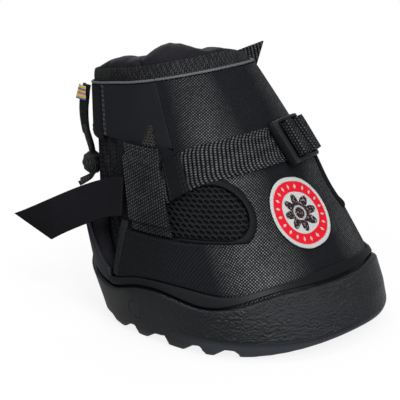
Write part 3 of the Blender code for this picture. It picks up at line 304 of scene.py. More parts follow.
class Effect(Net):
    """A node group with named inputs and outputs that several finishes share."""

    def __init__(self, name, takes, gives):
        super().__init__(bpy.data.node_groups.new(name, 'ShaderNodeTree'))
        for label, value in takes.items():
            kind = 'NodeSocketVector' if value is None else 'NodeSocketFloat'
            made = self.tree.interface.new_socket(name=label, in_out='INPUT', socket_type=kind)
            if value is not None:
                made.default_value = value
        for label in gives:
            kind = 'NodeSocketVector' if label == "Normal" else 'NodeSocketFloat'
            self.tree.interface.new_socket(name=label, in_out='OUTPUT', socket_type=kind)
        self.given = self.tree.nodes.new('NodeGroupInput').outputs
        self.out = self.tree.nodes.new('NodeGroupOutput').inputs

    def put(self, **values):
        for label, value in values.items():
            self.tree.links.new(value, self.out[label])


class Finish(Net):
    """A material. Its constants are set on the shader's own sockets."""

    def __init__(self, name, colour, roughness, **constants):
        self.material = bpy.data.materials.new(name)
        self.material.use_nodes = True
        super().__init__(self.material.node_tree)
        self.shader = self.tree.nodes["Principled BSDF"]
        self.give(self.shader.inputs["Base Color"], (*colour, 1.0))
        self.give(self.shader.inputs["Roughness"], roughness)
        for label, value in constants.items():
            self.give(self.shader.inputs[label.replace("_", " ")], value)
        self.material.diffuse_color = (*colour, 1.0)

    def uv(self):
        return self.add("UVMap").outputs[0]

    def place(self):
        return self.add("TexCoord").outputs["Object"]

    def to(self, **values):
        for label, value in values.items():
            self.tree.links.new(value, self.shader.inputs[label.replace("_", " ")])

    def bump(self, height, strength, distance, normal=None):
        node = self.add("Bump")
        for name, value in (("Strength", strength), ("Distance", distance), ("Height", height)):
            self.give(node.inputs[name], value)
        if normal is not None:
            self.give(node.inputs["Normal"], normal)
        return node.outputs[0]


def thread_lattice():
    """Domed threads on a lattice: their height, a chance value for each thread and the tilted normal."""
    net = Effect("thread_lattice", {"Vector": None, "Pitch along": 0.001, "Pitch across": 0.001, "Turn": 0.0,
                                    "Relief": 0.5, "Stagger": 0.0, "Narrow along": 1.0, "Narrow across": 1.0},
                 ("Height", "Chance", "Normal"))
    given = net.given
    turned = net.add("VectorRotate", given["Vector"], rotation_type='Z_AXIS')
    net.give(turned.inputs["Angle"], given["Turn"])
    x, y, _ = net.split(turned.outputs[0])
    x = net.math('DIVIDE', x, given["Pitch along"])
    odd = net.math('FLOORED_MODULO', net.math('FLOOR', x), 2.0)
    shift = net.times(net.times(odd, 0.5), given["Stagger"])
    y = net.plus(net.math('DIVIDE', y, given["Pitch across"]), shift)
    lattice = net.combine(x, y, 0.0)
    chance = net.add("TexWhiteNoise", net.vector('FLOOR', lattice)).outputs[0]
    inside = net.vector('SUBTRACT', net.vector('FRACTION', lattice), (0.5, 0.5, 0.0))
    x, y, _ = net.split(inside)
    domes = [net.minus(1.0, net.times(net.times(v, v), 4.0)) for v in (x, y)]
    height = net.times(net.math('POWER', domes[0], given["Narrow along"]),
                       net.math('POWER', domes[1], given["Narrow across"]))
    back = net.add("VectorRotate", inside, rotation_type='Z_AXIS')
    net.give(back.inputs["Angle"], net.times(given["Turn"], -1.0))
    x, y, _ = net.split(back.outputs[0])
    slope = net.combine(net.math('MULTIPLY_ADD', x, given["Relief"], 0.5),
                        net.math('MULTIPLY_ADD', y, given["Relief"], 0.5), 1.0)
    net.put(Height=height, Chance=chance, Normal=net.add("NormalMap", 1.0, slope).outputs[0])
    return net


def thread_wear():
    """How much of the pale thread colour, a painted highlight on the thread tops, shows on each thread, with patchy
    wear.
    """
    net = Effect("thread_wear", {"Vector": None, "Height": 0.5, "Chance": 0.5, "Bright": 1.0, "Patchy": 0.3},
                 ("Shown", "Fuzz"))
    given = net.given
    wear = net.ramp(net.noise(given["Vector"], 38.0, 4.0), 0.3, 0.7, -1.0, 1.0)
    lit = net.times(given["Height"], net.ramp(given["Chance"], 0.0, 1.0, 0.62, 1.25))
    lit = net.times(lit, net.math('MULTIPLY_ADD', wear, given["Patchy"], 1.0))
    net.put(Shown=net.times(lit, given["Bright"], clamped=True),
            Fuzz=net.noise(given["Vector"], 1400.0, 2.0))
    return net


def cloth_grain():
    """Fine grain and broad, faint patches of close cloth, coated cloth and thread."""
    net = Effect("cloth_grain", {"Vector": None, "Grain": 900.0, "Patches": 26.0}, ("Fine", "Broad", "Tone"))
    fine = net.noise(net.given["Vector"], net.given["Grain"], 2.0)
    broad = net.noise(net.given["Vector"], net.given["Patches"], 3.0)
    tone = net.plus(net.times(fine, 0.45), net.times(broad, 0.55))
    net.put(Fine=fine, Broad=broad, Tone=net.ramp(tone, 0.32, 0.68))
    return net


def rubber_marks():
    """Flow marks, moulding specks and the dust that gathers low on rubber."""
    net = Effect("rubber_marks", {"Vector": None, "Dust height": 0.0105}, ("Fine", "Broad", "Dusty"))
    vector = net.given["Vector"]
    broad = net.noise(vector, 22.0, 4.0)
    specks = net.ramp(net.cells(vector, 420.0), 0.0, 0.12, 0.25, 0.0)
    low = net.ramp(net.split(vector)[2], 0.004, net.given["Dust height"], 0.55, 0.0)
    dusty = net.plus(net.plus(net.ramp(broad, 0.3, 0.7, 0.1, 0.75), low), specks, clamped=True)
    net.put(Fine=net.noise(vector, 700.0, 2.0), Broad=broad, Dusty=dusty)
    return net


LATTICE, SHEEN_AND_WEAR, GRAIN, MARKS = thread_lattice(), thread_wear(), cloth_grain(), rubber_marks()


def woven(name, dark, light, pitch, turn=0.0, relief=0.5, stagger=0.0, narrow=(1.0, 1.0), matt=0.9, gloss=0.38,
          patchy=0.3, bright=1.0, zone=None):
    """Cloth of domed threads with matt gaps, uneven threads and soft wear. The pale colour on the thread tops is a
    painted highlight, and a zone says where these painted highlights stand out.
    """
    made = Finish(name, dark, 0.7, Specular_IOR_Level=0.08)
    place = made.place()
    thread = made.effect(LATTICE, Vector=made.uv(), Pitch_along=pitch[0], Pitch_across=pitch[1],
                         Turn=radians(turn), Relief=relief, Stagger=stagger, Narrow_along=narrow[0],
                         Narrow_across=narrow[1])
    highlit_threads = made.effect(SHEEN_AND_WEAR, Vector=place, Height=thread["Height"], Chance=thread["Chance"], Bright=bright,
                       Patchy=patchy)
    shown, ground = highlit_threads["Shown"], dark
    if zone:
        # Where the zone is low, the painted thread highlights fade out and a plain, slightly paler ground is painted
        # instead, as the light falls off there.
        share = zone(made, place)
        shown, ground = made.times(shown, share), made.blend(share, (0.0066, 0.0070, 0.0090), dark)
    made.to(Base_Color=made.blend(shown, ground, light),
            Roughness=made.ramp(thread["Height"], 0.15, 0.9, matt, gloss),
            Normal=made.bump(highlit_threads["Fuzz"], 0.15, 0.0003, thread["Normal"]))
    return made.material


def shell_highlight_zone(net, place):
    """Where the shell's painted thread highlights show: they fade out towards the cuffs and down the middle of the
    front, where the light falls away.
    """
    x, y, z = net.split(place)
    behind = net.ramp(net.math('MULTIPLY_ADD', z, 0.588, x), 0.0475, 0.0620, 0.04, 1.0)
    middle = net.ramp(net.size(net.plus(y, 0.002)), 0.011, 0.034, 0.06, 1.0)
    return net.times(behind, middle)


def close_cloth(name, dark, light, grain=900.0, roughness=0.6, relief=0.25, patches=26.0, shine=0.08, **constants):
    """A close, smooth or coated cloth with fine grain."""
    made = Finish(name, dark, roughness, Specular_IOR_Level=shine, **constants)
    grained = made.effect(GRAIN, Vector=made.place(), Grain=grain, Patches=patches)
    made.to(Base_Color=made.blend(grained["Tone"], dark, light),
            Roughness=made.ramp(grained["Broad"], 0.3, 0.7, roughness - 0.07, roughness + 0.08),
            Normal=made.bump(grained["Fine"], relief, 0.0005))
    return made.material


def rubber(name, dark, light, roughness):
    made = Finish(name, dark, roughness, Specular_IOR_Level=0.16)
    marks = made.effect(MARKS, Vector=made.place())
    made.to(Base_Color=made.blend(marks["Dusty"], dark, light),
            Roughness=made.ramp(marks["Broad"], 0.3, 0.7, roughness - 0.06, roughness + 0.08),
            Normal=made.bump(marks["Fine"], 0.12, 0.0003))
    return made.material


def sole_rubber(name, dark, light, roughness):
    """The outsole: pebbled and shiny round the toe above a plain lower band, smooth and satin behind."""
    made = Finish(name, dark, roughness, Specular_IOR_Level=0.38)
    place = made.place()
    marks = made.effect(MARKS, Vector=place)
    x, _, z = made.split(place)
    toe = made.times(made.ramp(x, -0.012, 0.030), made.ramp(z, 0.0075, 0.0115))
    pebbles = made.times(made.math('POWER', made.noise(place, 850.0), 1.5), toe)
    across = made.math('POWER', made.plus(x, 0.0205), 2.0)
    above = made.minus(z, 0.0150)
    away = made.math('SQRT', made.math('MULTIPLY_ADD', above, above, across))
    ring = made.ramp(made.size(made.minus(away, 0.0046)), 0.0003, 0.0009, 1.0, 0.0)
    marked = made.bump(ring, 1.0, 0.0007, made.bump(marks["Fine"], 0.1, 0.0003))
    band = made.times(made.ramp(x, 0.0, 0.030), made.ramp(z, 0.0075, 0.0105, 0.8, 0.0))
    made.to(Base_Color=made.blend(band, made.blend(marks["Dusty"], dark, light), (0.026, 0.031, 0.040)),
            Roughness=made.minus(made.ramp(marks["Broad"], 0.3, 0.7, roughness - 0.06, roughness + 0.08),
                                made.times(toe, 0.29)),
            Normal=made.bump(pebbles, 0.9, 0.0014, marked))
    return made.material


def embroidery(name):
    """The badge: pale border, red ring with pale lozenges, and a dark eight-leaf rosette on a pale ground."""
    made = Finish(name, (0.6, 0.03, 0.05), 0.62, Specular_IOR_Level=0.06)
    x, y, _ = made.split(made.uv())
    radius = made.math('SQRT', made.plus(made.times(x, x), made.times(y, y)))
    turn = made.math('ARCTAN2', y, x)
    pale, red, dark = (0.45, 0.485, 0.475), (0.60, 0.006, 0.018), (0.0060, 0.0065, 0.0085)
    rows = made.math('SINE', made.times(made.plus(x, made.times(y, 0.35)), 7400.0))
    ring = made.times(made.ramp(radius, 0.0119, 0.0124), made.ramp(radius, 0.0181, 0.0186, 1.0, 0.0))
    petal = made.size(made.math('SINE', made.times(turn, 10.0)))
    inward = made.size(made.minus(radius, 0.0153))
    lozenge = made.ramp(made.math('MULTIPLY_ADD', inward, 330.0, petal), 0.42, 0.60, 0.85, 0.0)
    leaf = made.size(made.math('COSINE', made.times(turn, 4.0)))
    reach = made.math('MULTIPLY_ADD', leaf, 0.0050, 0.0060)
    rosette = made.ramp(made.minus(radius, reach), -0.0003, 0.0003, 1.0, 0.0)
    eye = made.ramp(made.size(made.minus(radius, 0.0038)), 0.0003, 0.0007, 0.8, 0.0)
    flecks = made.ramp(made.noise(made.uv(), 900.0, 2.0), 0.56, 0.62, 0.0, 0.45)
    bare = made.minus(1.0, made.math('MAXIMUM', eye, flecks))
    ground = made.blend(made.times(rosette, bare, clamped=True), pale, dark)
    ringed = made.blend(made.times(ring, made.minus(1.0, lozenge)), ground, red)
    # The darker lines between the stitch rows are painted shade.
    made.to(Base_Color=made.blend(made.ramp(rows, -1.0, 1.0, 0.0, 0.22), ringed, (0.16, 0.03, 0.04)),
            Normal=made.bump(rows, 0.35, 0.0003))
    return made.material


def striped(name):
    """The pull's label: woven stripes of blue, yellow, cream and pink."""
    made = Finish(name, (0.5, 0.4, 0.1), 0.7, Specular_IOR_Level=0.2)
    x, y, _ = made.split(made.uv())
    colour = (0.10, 0.12, 0.42)
    share = made.math('FRACT', made.times(y, 192.0))
    for start, stripe in ((0.18, (0.68, 0.50, 0.05)), (0.43, (0.55, 0.52, 0.42)), (0.55, (0.50, 0.13, 0.26)),
                          (0.75, (0.68, 0.50, 0.05))):
        colour = made.blend(made.ramp(share, start, start + 0.04), colour, stripe)
    weave = made.math('SINE', made.times(x, 9000.0))
    made.to(Base_Color=made.blend(made.ramp(weave, -1.0, 1.0, 0.0, 0.3), colour, (0.08, 0.07, 0.07)),
            Normal=made.bump(weave, 0.3, 0.0002))
    return made.material


NYLON = woven("ballistic_nylon", (0.0036, 0.0038, 0.0041), (0.170, 0.180, 0.185), (0.00120, 0.00120), 45.0, 0.9,
              narrow=(2.2, 2.2), gloss=0.34, patchy=0.3, zone=shell_highlight_zone)
STRAP_WEAVE = woven("strap_webbing", (0.0018, 0.0018, 0.0022), (0.098, 0.105, 0.108), (0.0023, 0.00125), 0.0,
                    0.9, 1.0, (3.2, 1.6), gloss=0.38, patchy=0.25)
KEEPER_WEAVE = woven("keeper_webbing", (0.0024, 0.0025, 0.0029), (0.058, 0.063, 0.067), (0.00145, 0.0017), 0.0,
                     0.8, 1.0, (1.7, 1.7), gloss=0.45, patchy=0.5)
TAIL_TAPE = close_cloth("tail_tape", (0.0036, 0.0036, 0.0050), (0.0088, 0.0088, 0.0116), 1300.0, 0.7, 0.3)
BINDING_TAPE = woven("binding_tape", (0.0050, 0.0050, 0.0056), (0.024, 0.026, 0.029), (0.0008, 0.0011), 0.0, 0.6)
BAND_MESH = woven("collar_rib_mesh", (0.0022, 0.0023, 0.0027), (0.036, 0.037, 0.038), (0.0013, 0.0030), 0.0, 0.6,
                  1.0, (1.0, 0.6), 0.95, 0.75, 0.5)
GAITER_MESH = woven("gaiter_rib_mesh", (0.0022, 0.0023, 0.0028), (0.022, 0.022, 0.025), (0.0015, 0.0042), 0.0,
                    0.6, 1.0, (1.0, 0.6), 0.95, 0.8, 0.5)
CORD_BRAID = woven("cord_braid", (0.006, 0.006, 0.007), (0.075, 0.078, 0.080), (0.0011, 0.0011), 45.0, 0.9)
FOLD_CLOTH = close_cloth("folded_webbing_back", (0.0020, 0.0023, 0.0026), (0.0052, 0.0059, 0.0065), 1100.0, 0.62,
                         0.35)
CUFF_CLOTH = close_cloth("cuff_coated_cloth", (0.0046, 0.0048, 0.0064), (0.0092, 0.0096, 0.0126), 1400.0, 0.50,
                         0.12, shine=0.13)
LINING_CLOTH = close_cloth("lining_cloth", (0.0035, 0.0035, 0.0042), (0.009, 0.009, 0.010), 500.0, 0.85, 0.4)
WINDOW_STRANDS = close_cloth("window_strands", (0.0036, 0.0039, 0.0044), (0.0115, 0.0125, 0.0140), 1300.0, 0.62,
                             0.35)
PAD_CLOTH = close_cloth("collar_pad_cloth", (0.0060, 0.0060, 0.0085), (0.0155, 0.0155, 0.0200), 1000.0, 0.75, 0.25,
                        60.0, Sheen_Weight=0.06, Sheen_Roughness=0.45)
GUSSET_MESH = close_cloth("gusset_mesh", (0.010, 0.011, 0.010), (0.050, 0.052, 0.046), 1500.0, 0.6, 0.3)
RIM_CLOTH = close_cloth("window_rim_cloth", (0.0030, 0.0033, 0.0038), (0.0080, 0.0088, 0.0100), 1200.0, 0.6, 0.3)
PIPING_CLOTH = close_cloth("piping_cloth", (0.058, 0.060, 0.063), (0.130, 0.133, 0.137), 1500.0, 0.5, 0.2)
THREAD = close_cloth("sewing_thread", (0.0065, 0.0070, 0.0080), (0.020, 0.021, 0.023), 2200.0, 0.45, 0.3)
PALE_THREAD = close_cloth("pale_thread", (0.030, 0.030, 0.037), (0.075, 0.075, 0.090), 2200.0, 0.5, 0.3)
PLASTIC = close_cloth("lock_plastic", (0.0036, 0.0036, 0.0042), (0.0080, 0.0084, 0.0094), 1800.0, 0.24, 0.1,
                      shine=0.22)
INSOLE_FOAM = close_cloth("insole_foam", (0.010, 0.010, 0.011), (0.020, 0.020, 0.022), 380.0, 0.9, 0.6)
SOLE_RUBBER = sole_rubber("sole_rubber", (0.0018, 0.0024, 0.0036), (0.0052, 0.0066, 0.0094), 0.42)
RAND_RUBBER = rubber("rand_rubber", (0.0036, 0.0040, 0.0048), (0.0080, 0.0090, 0.0104), 0.42)
COUNTER_RUBBER = rubber("counter_rubber", (0.0062, 0.0070, 0.0095), (0.0150, 0.0165, 0.0220), 0.42)
BADGE_THREAD = embroidery("badge_embroidery")
LABEL_WEAVE = striped("label_weave")


# Making pieces

SIDES = ((-1, "right"), (1, "left"))
UPWARD = Vector((0.0, 0.0, 1.0))

# Slots of the part's materials, with the finishes that the scene gives each of them
SLOTS = {"ballistic_nylon": ("ballistic_nylon", "window_rim_cloth"), "black_plastic": ("lock_plastic",),
         "cord_braid": ("cord_braid",), "badge_cloth": ("badge_embroidery",), "counter_rubber": ("counter_rubber",),
         "cuff_leather": ("cuff_coated_cloth", "gusset_mesh", "pale_thread"),
         "hook_tape": ("tail_tape", "folded_webbing_back"), "insole_foam": ("insole_foam",),
         "label_cloth": ("label_weave",), "lining_cloth": ("lining_cloth", "gaiter_rib_mesh", "collar_rib_mesh"),
         "pad_cloth": ("collar_pad_cloth",), "piping_cloth": ("piping_cloth",),
         "rubber": ("sole_rubber", "rand_rubber"), "spacer_mesh": ("window_strands",),
         "webbing_cloth": ("strap_webbing", "keeper_webbing", "binding_tape", "sewing_thread")}
SLOT_OF = {finish: slot for slot, finishes in SLOTS.items() for finish in finishes}
SEAMS = {}


def carried(made, body, *nodes):
    """Puts a piece on its body, in place of the CAD nodes that it replaces, and looks up the slot of its finish."""
    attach(made, body)
    finish = next(material for material in made.data.materials if material)
    SLOT_OF[finish.name.split(".")[0]]
    if nodes:
        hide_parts(*nodes)
    return made


def sew(body, line, pale=False):
    """Keeps a line of stitches for make_stitches."""
    SEAMS.setdefault((body, pale), []).append(line)


def shade(mesh, sharp=50.0):
    mesh.shade_smooth()
    mesh.set_sharp_from_angle(angle=radians(sharp))


def put_in_scene(name, data):
    made = bpy.data.objects.new(name, data)
    bpy.context.scene.collection.objects.link(made)
    return made


def link(name, mesh, finish):
    mesh.materials.clear()
    mesh.materials.append(finish)
    shade(mesh)
    return put_in_scene(name, mesh)


def bake(made):
    """Turns the piece with its modifiers into a plain mesh."""
    depsgraph = bpy.context.evaluated_depsgraph_get()
    mesh = bpy.data.meshes.new_from_object(made.evaluated_get(depsgraph), depsgraph=depsgraph)
    made.modifiers.clear()
    shade(mesh)
    name, old = made.name, made.data
    if isinstance(old, bpy.types.Mesh):
        made.data = mesh
        mesh.name = old.name
        bpy.data.meshes.remove(old)
        return made
    bpy.data.objects.remove(made)
    return put_in_scene(name, mesh)


def plain_mesh(name, vertices, faces, corners=None):
    """A mesh of points and faces, with a UV for each corner of the faces where they are given."""
    mesh = bpy.data.meshes.new(name)
    mesh.from_pydata([tuple(v) for v in vertices], [], faces)
    if corners:
        layer = mesh.uv_layers.new(name="UVMap")
        for loop, corner in zip(layer.data, corners):
            loop.uv = corner
    return mesh


def mend(mesh, fill=False, split=False):
    """Merges doubles, closes open ends or splits the faces where asked, and turns the faces outwards."""
    shape = bmesh.new()
    shape.from_mesh(mesh)
    bmesh.ops.remove_doubles(shape, verts=shape.verts, dist=1e-6)
    if fill:
        bmesh.ops.holes_fill(shape, edges=[e for e in shape.edges if e.is_boundary])
    if split:
        bmesh.ops.triangulate(shape, faces=shape.faces)
    bmesh.ops.recalc_face_normals(shape, faces=shape.faces)
    shape.to_mesh(mesh)
    shape.free()
    return mesh


def welded(name, vertices, faces, finish, split=False):
    return link(name, mend(plain_mesh(name, vertices, faces), split=split), finish)


def closed_loft(name, loops, finish):
    """A closed piece through loops of points, with a flat face at each end."""
    count = len(loops[0])
    vertices = [v for loop in loops for v in loop]
    faces = [(i * count + j, i * count + (j + 1) % count, (i + 1) * count + (j + 1) % count, (i + 1) * count + j)
             for i in range(len(loops) - 1) for j in range(count)]
    faces += [tuple(range(count)), tuple(range(len(vertices) - count, len(vertices)))]
    return welded(name, vertices, faces, finish)


def disc_faces(rings, sides):
    """Faces of a disc whose points run ring by ring outwards, with the hub as the last point."""
    hub = rings * sides
    faces = [(hub, k, (k + 1) % sides) for k in range(sides)]
    for i in range(rings - 1):
        for k in range(sides):
            m = (k + 1) % sides
            faces.append((i * sides + k, (i + 1) * sides + k, (i + 1) * sides + m, i * sides + m))
    return faces


def grid_mesh(name, columns, ring=False, origin=0):
    """A mesh of quads through columns of points. Its UVs are distances in metres."""
    count, rows = len(columns), len(columns[0])
    across = [[0.0] * rows for _ in range(count)]
    for i in range(origin + 1, count):
        for j in range(rows):
            across[i][j] = across[i - 1][j] + (columns[i][j] - columns[i - 1][j]).length
    for i in range(origin - 1, -1, -1):
        for j in range(rows):
            across[i][j] = across[i + 1][j] - (columns[i + 1][j] - columns[i][j]).length
    up = [[0.0] * rows for _ in range(count)]
    for i in range(count):
        for j in range(1, rows):
            up[i][j] = up[i][j - 1] + (columns[i][j] - columns[i][j - 1]).length
    faces, corners = [], []
    for i in range(count if ring else count - 1):
        k = (i + 1) % count
        for j in range(rows - 1):
            faces.append((i * rows + j, k * rows + j, k * rows + j + 1, i * rows + j + 1))
            last = across[k] if k else [a + (columns[0][j] - columns[i][j]).length for a in across[i]]
            corners += [(across[i][j], up[i][j]), (last[j], up[k][j]), (last[j + 1], up[k][j + 1]),
                        (across[i][j + 1], up[i][j + 1])]
    return plain_mesh(name, [p for column in columns for p in column], faces, corners)


def thicken(made, thickness, offset=-1.0):
    solid = made.modifiers.new("thickness", 'SOLIDIFY')
    solid.thickness, solid.offset = thickness, offset


def round_edges(made, width, segments, sharper_than):
    bevel = made.modifiers.new("edge", 'BEVEL')
    bevel.width, bevel.segments, bevel.limit_method = width, segments, 'ANGLE'
    bevel.angle_limit = radians(sharper_than)


def even_out(made, cell, passes):
    """Voxel remesh with smoothing, which rounds the piece's edges."""
    remesh = made.modifiers.new("even", 'REMESH')
    remesh.mode, remesh.voxel_size = 'VOXEL', cell
    made.modifiers.new("soften", 'SMOOTH').iterations = passes
    return bake(made)


def subdivide(made):
    soft = made.modifiers.new("soft", 'SUBSURF')
    soft.levels = soft.render_levels = 1
    return bake(made)


def panel(name, columns, finish, thickness, edge=0.0004, ring=False, origin=0, offset=-1.0):
    """A sewn sheet: a grid of points given a thickness inwards and rounded edges."""
    made = link(name, grid_mesh(name, columns, ring, origin), finish)
    thicken(made, thickness, offset)
    if edge:
        round_edges(made, edge, 2, 55)
    return bake(made)


def wall_panel(name, angles, low, high, rows, stand, thickness, finish, **more):
    """A sheet over the wall between two heights, each a function of the angle."""
    columns = [[wall(a, h, stand(a, h) if callable(stand) else stand)
                for h in (lerp(low(a), high(a), r / rows) for r in range(rows + 1))] for a in angles]
    return panel(name, columns, finish, thickness, **more)


def facing_out(columns, side):
    """Columns made for the left side run the other way on the right side, so that their faces point outwards."""
    return columns[::-1] if side < 0 else columns


def cut_away(made, *blocks):
    for block in blocks:
        modifier = made.modifiers.new("cut", 'BOOLEAN')
        modifier.operation, modifier.solver, modifier.object = 'DIFFERENCE', 'EXACT', block
    made = bake(made)
    for block in blocks:
        bpy.data.objects.remove(block)
    return made


def ribbon(name, path, ups, width, thickness, finish, cut_back=0.0, rows=8):
    """Webbing along a path. Each place has the direction of its width, and the far end may be cut on the slant."""
    columns, last = [], len(path) - 1
    for k, (point, up) in enumerate(zip(path, ups)):
        along = (path[min(k + 1, last)] - path[max(k - 1, 0)]).normalized()
        across = (up - along * up.dot(along)).normalized()
        columns.append([point + across * width * v - along * cut_back * (k / last) ** 2 * (0.5 - v)
                        for v in (r / rows - 0.5 for r in range(rows + 1))])
    return panel(name, columns, finish, thickness, offset=0.0)


def tube(name, points, radius, finish, sides):
    """A round piece along points, with its UVs in metres."""
    last, loops = len(points) - 1, []
    side = (points[1] - points[0]).normalized().orthogonal().normalized()
    for k, point in enumerate(points):
        along = (points[min(k + 1, last)] - points[max(k - 1, 0)]).normalized()
        side = (side - along * side.dot(along)).normalized()
        other = along.cross(side)
        loops.append([point + (side * cos(2 * pi * j / sides) + other * sin(2 * pi * j / sides)) * radius
                      for j in range(sides + 1)])
    return link(name, mend(grid_mesh(name, loops), fill=True), finish)


def bezier(p0, p1, p2, p3, count):
    return [p0 * (1 - t) ** 3 + p1 * 3 * t * (1 - t) ** 2 + p2 * 3 * t ** 2 * (1 - t) + p3 * t ** 3
            for t in (k / count for k in range(count + 1))]


def begin_tree(name, **takes):
    """A geometry tree with its inputs. A number is a size, and None is a material."""
    tree = bpy.data.node_groups.new(name, 'GeometryNodeTree')
    for direction in ('INPUT', 'OUTPUT'):
        tree.interface.new_socket(name="Geometry", in_out=direction, socket_type='NodeSocketGeometry')
    for label, value in takes.items():
        kind = 'NodeSocketMaterial' if value is None else 'NodeSocketFloat'
        made = tree.interface.new_socket(name=label.replace("_", " "), in_out='INPUT', socket_type=kind)
        if value is not None:
            made.default_value = value
    return tree, tree.nodes.new('NodeGroupInput').outputs


def wire(tree, *pairs):
    for start, end in pairs:
        tree.links.new(start, end)


def end_tree(tree, geometry, material):
    """The tree's last nodes: Realize Instances, Set Material and the output."""
    real = tree.nodes.new('GeometryNodeRealizeInstances')
    colour = tree.nodes.new('GeometryNodeSetMaterial')
    out = tree.nodes.new('NodeGroupOutput')
    wire(tree, (geometry, real.inputs[0]), (real.outputs[0], colour.inputs["Geometry"]),
         (material, colour.inputs["Material"]), (colour.outputs[0], out.inputs[0]))
    return tree


def stitch_tree():
    """Thread stitches laid end to end along curves."""
    tree, given = begin_tree("stitch_rows", Pitch=0.003, Length=0.0022, Thickness=0.0006, Thread=None)
    new = tree.nodes.new
    resample = new('GeometryNodeResampleCurve')
    resample.mode = 'LENGTH'
    tangent = new('GeometryNodeInputTangent')
    align = new('FunctionNodeAlignRotationToVector')
    align.axis = 'X'
    ball = new('GeometryNodeMeshUVSphere')
    for label, value in (("Segments", 6), ("Rings", 4), ("Radius", 0.5)):
        ball.inputs[label].default_value = value
    size = new('ShaderNodeCombineXYZ')
    place = new('GeometryNodeInstanceOnPoints')
    smooth = new('GeometryNodeSetShadeSmooth')
    wire(tree, (given["Geometry"], resample.inputs["Curve"]), (given["Pitch"], resample.inputs["Length"]),
         (resample.outputs[0], place.inputs["Points"]), (ball.outputs["Mesh"], place.inputs["Instance"]),
         (tangent.outputs[0], align.inputs["Vector"]), (align.outputs[0], place.inputs["Rotation"]),
         (given["Length"], size.inputs[0]), (given["Thickness"], size.inputs[1]),
         (given["Thickness"], size.inputs[2]), (size.outputs[0], place.inputs["Scale"]),
         (place.outputs[0], smooth.inputs[0]))
    return end_tree(tree, smooth.outputs[0], given["Thread"])


def perforation_tree():
    """Turns each face of a lattice into a strand frame round a hole."""
    tree, given = begin_tree("perforated_cloth", Hole_share=0.6, Cloth=None)
    new = tree.nodes.new
    extrude = new('GeometryNodeExtrudeMesh')
    extrude.inputs["Offset Scale"].default_value = 0.0
    scale = new('GeometryNodeScaleElements')
    remove = new('GeometryNodeDeleteGeometry')
    remove.domain = 'FACE'
    wire(tree, (given["Geometry"], extrude.inputs["Mesh"]), (extrude.outputs["Mesh"], scale.inputs["Geometry"]),
         (extrude.outputs["Top"], scale.inputs["Selection"]), (given["Hole share"], scale.inputs["Scale"]),
         (scale.outputs[0], remove.inputs["Geometry"]), (extrude.outputs["Top"], remove.inputs["Selection"]))
    return end_tree(tree, remove.outputs[0], given["Cloth"])


STITCH_TREE = stitch_tree()
PERFORATION_TREE = perforation_tree()


def give_tree(made, tree, **values):
    modifier = made.modifiers.new(tree.name, 'NODES')
    modifier.node_group = tree
    named = {item.name: item.identifier for item in tree.interface.items_tree if item.in_out == 'INPUT'}
    for name, value in values.items():
        modifier[named[name.replace("_", " ")]] = value


def stitches(name, lines, pitch, length, thickness, thread):
    """Rows of stitches along lines of points, as one mesh."""
    curve = bpy.data.curves.new(name, 'CURVE')
    curve.dimensions = '3D'
    for line in lines:
        spline = curve.splines.new('POLY')
        spline.points.add(len(line) - 1)
        for point, at in zip(spline.points, line):
            point.co = (*at, 1.0)
    made = put_in_scene(name, curve)
    give_tree(made, STITCH_TREE, Pitch=pitch, Length=length, Thickness=thickness, Thread=thread)
    return bake(made)


# Camera at the photograph's angle

PHOTO_PIXELS, PIXELS_PER_MM, SENSOR_MM = 400, 1.87, 36
CAMERA_AIM, CAMERA_DISTANCE, AIM_PIXEL = Vector((-0.010, 0.0, 0.062)), 0.710, (236.4, 196.7)


def aim_camera():
    azimuth, elevation, roll = radians(42.0), radians(16.7), radians(-0.6)
    back = Vector((sin(azimuth) * cos(elevation), -cos(azimuth) * cos(elevation), sin(elevation)))
    right = Vector((cos(azimuth), sin(azimuth), 0.0))
    up = Vector((-sin(elevation) * sin(azimuth), sin(elevation) * cos(azimuth), cos(elevation)))
    turned = (cos(roll) * right + sin(roll) * up, -sin(roll) * right + cos(roll) * up, back)
    data = bpy.data.cameras.new("camera")
    data.lens = SENSOR_MM * CAMERA_DISTANCE * 1000 / (PHOTO_PIXELS / PIXELS_PER_MM)
    data.shift_x = -(AIM_PIXEL[0] - PHOTO_PIXELS / 2) / PHOTO_PIXELS
    data.shift_y = -(PHOTO_PIXELS / 2 - AIM_PIXEL[1]) / PHOTO_PIXELS
    data.clip_start = 0.01
    camera = put_in_scene("camera", data)
    camera.matrix_world = Matrix(turned).transposed().to_4x4()
    camera.location = CAMERA_AIM + back * CAMERA_DISTANCE
    bpy.context.scene.camera = camera


aim_camera()


# The pull at the rear, with its two cords

PULL_ANGLE, PULL_HEIGHT, PULL_LENGTH = -143.0, 0.1175, 0.0225
PULL_TWIST, TAPE_LENGTH, PULL_BOW = radians(44.0), 0.0282, 0.0032
TAPE_TOP_WIDTH, TAPE_FOOT_WIDTH, TAPE_STAND = 0.0082, 0.0052, 0.0012
LABEL_HALF_WIDTH, LABEL_TOP, LABEL_FOOT = 0.00475, -0.0006, -0.0084
CORD_DROP, CORD_DIAMETER, CORD_SPREAD = 0.0175, 0.0028, 0.0034
CORD_END, CORD_END_SPREAD, CORD_KICK = 0.0070, 0.0046, 0.0076
KNOT_RADIUS, KNOT_RISE = 0.0056, sqrt(0.0112 ** 2 - 0.0068 ** 2) / 2


def pull_frame():
    at, further = wall(PULL_ANGLE, PULL_HEIGHT), wall(PULL_ANGLE, PULL_HEIGHT, 0.01)
    out = (further - at).normalized()
    frame = Matrix((out.cross(UPWARD).normalized(), out, UPWARD)).transposed().to_4x4()
    frame.translation = at + out * (SHELL_CLOTH + FIT_GAP + TAPE_STAND)
    return frame


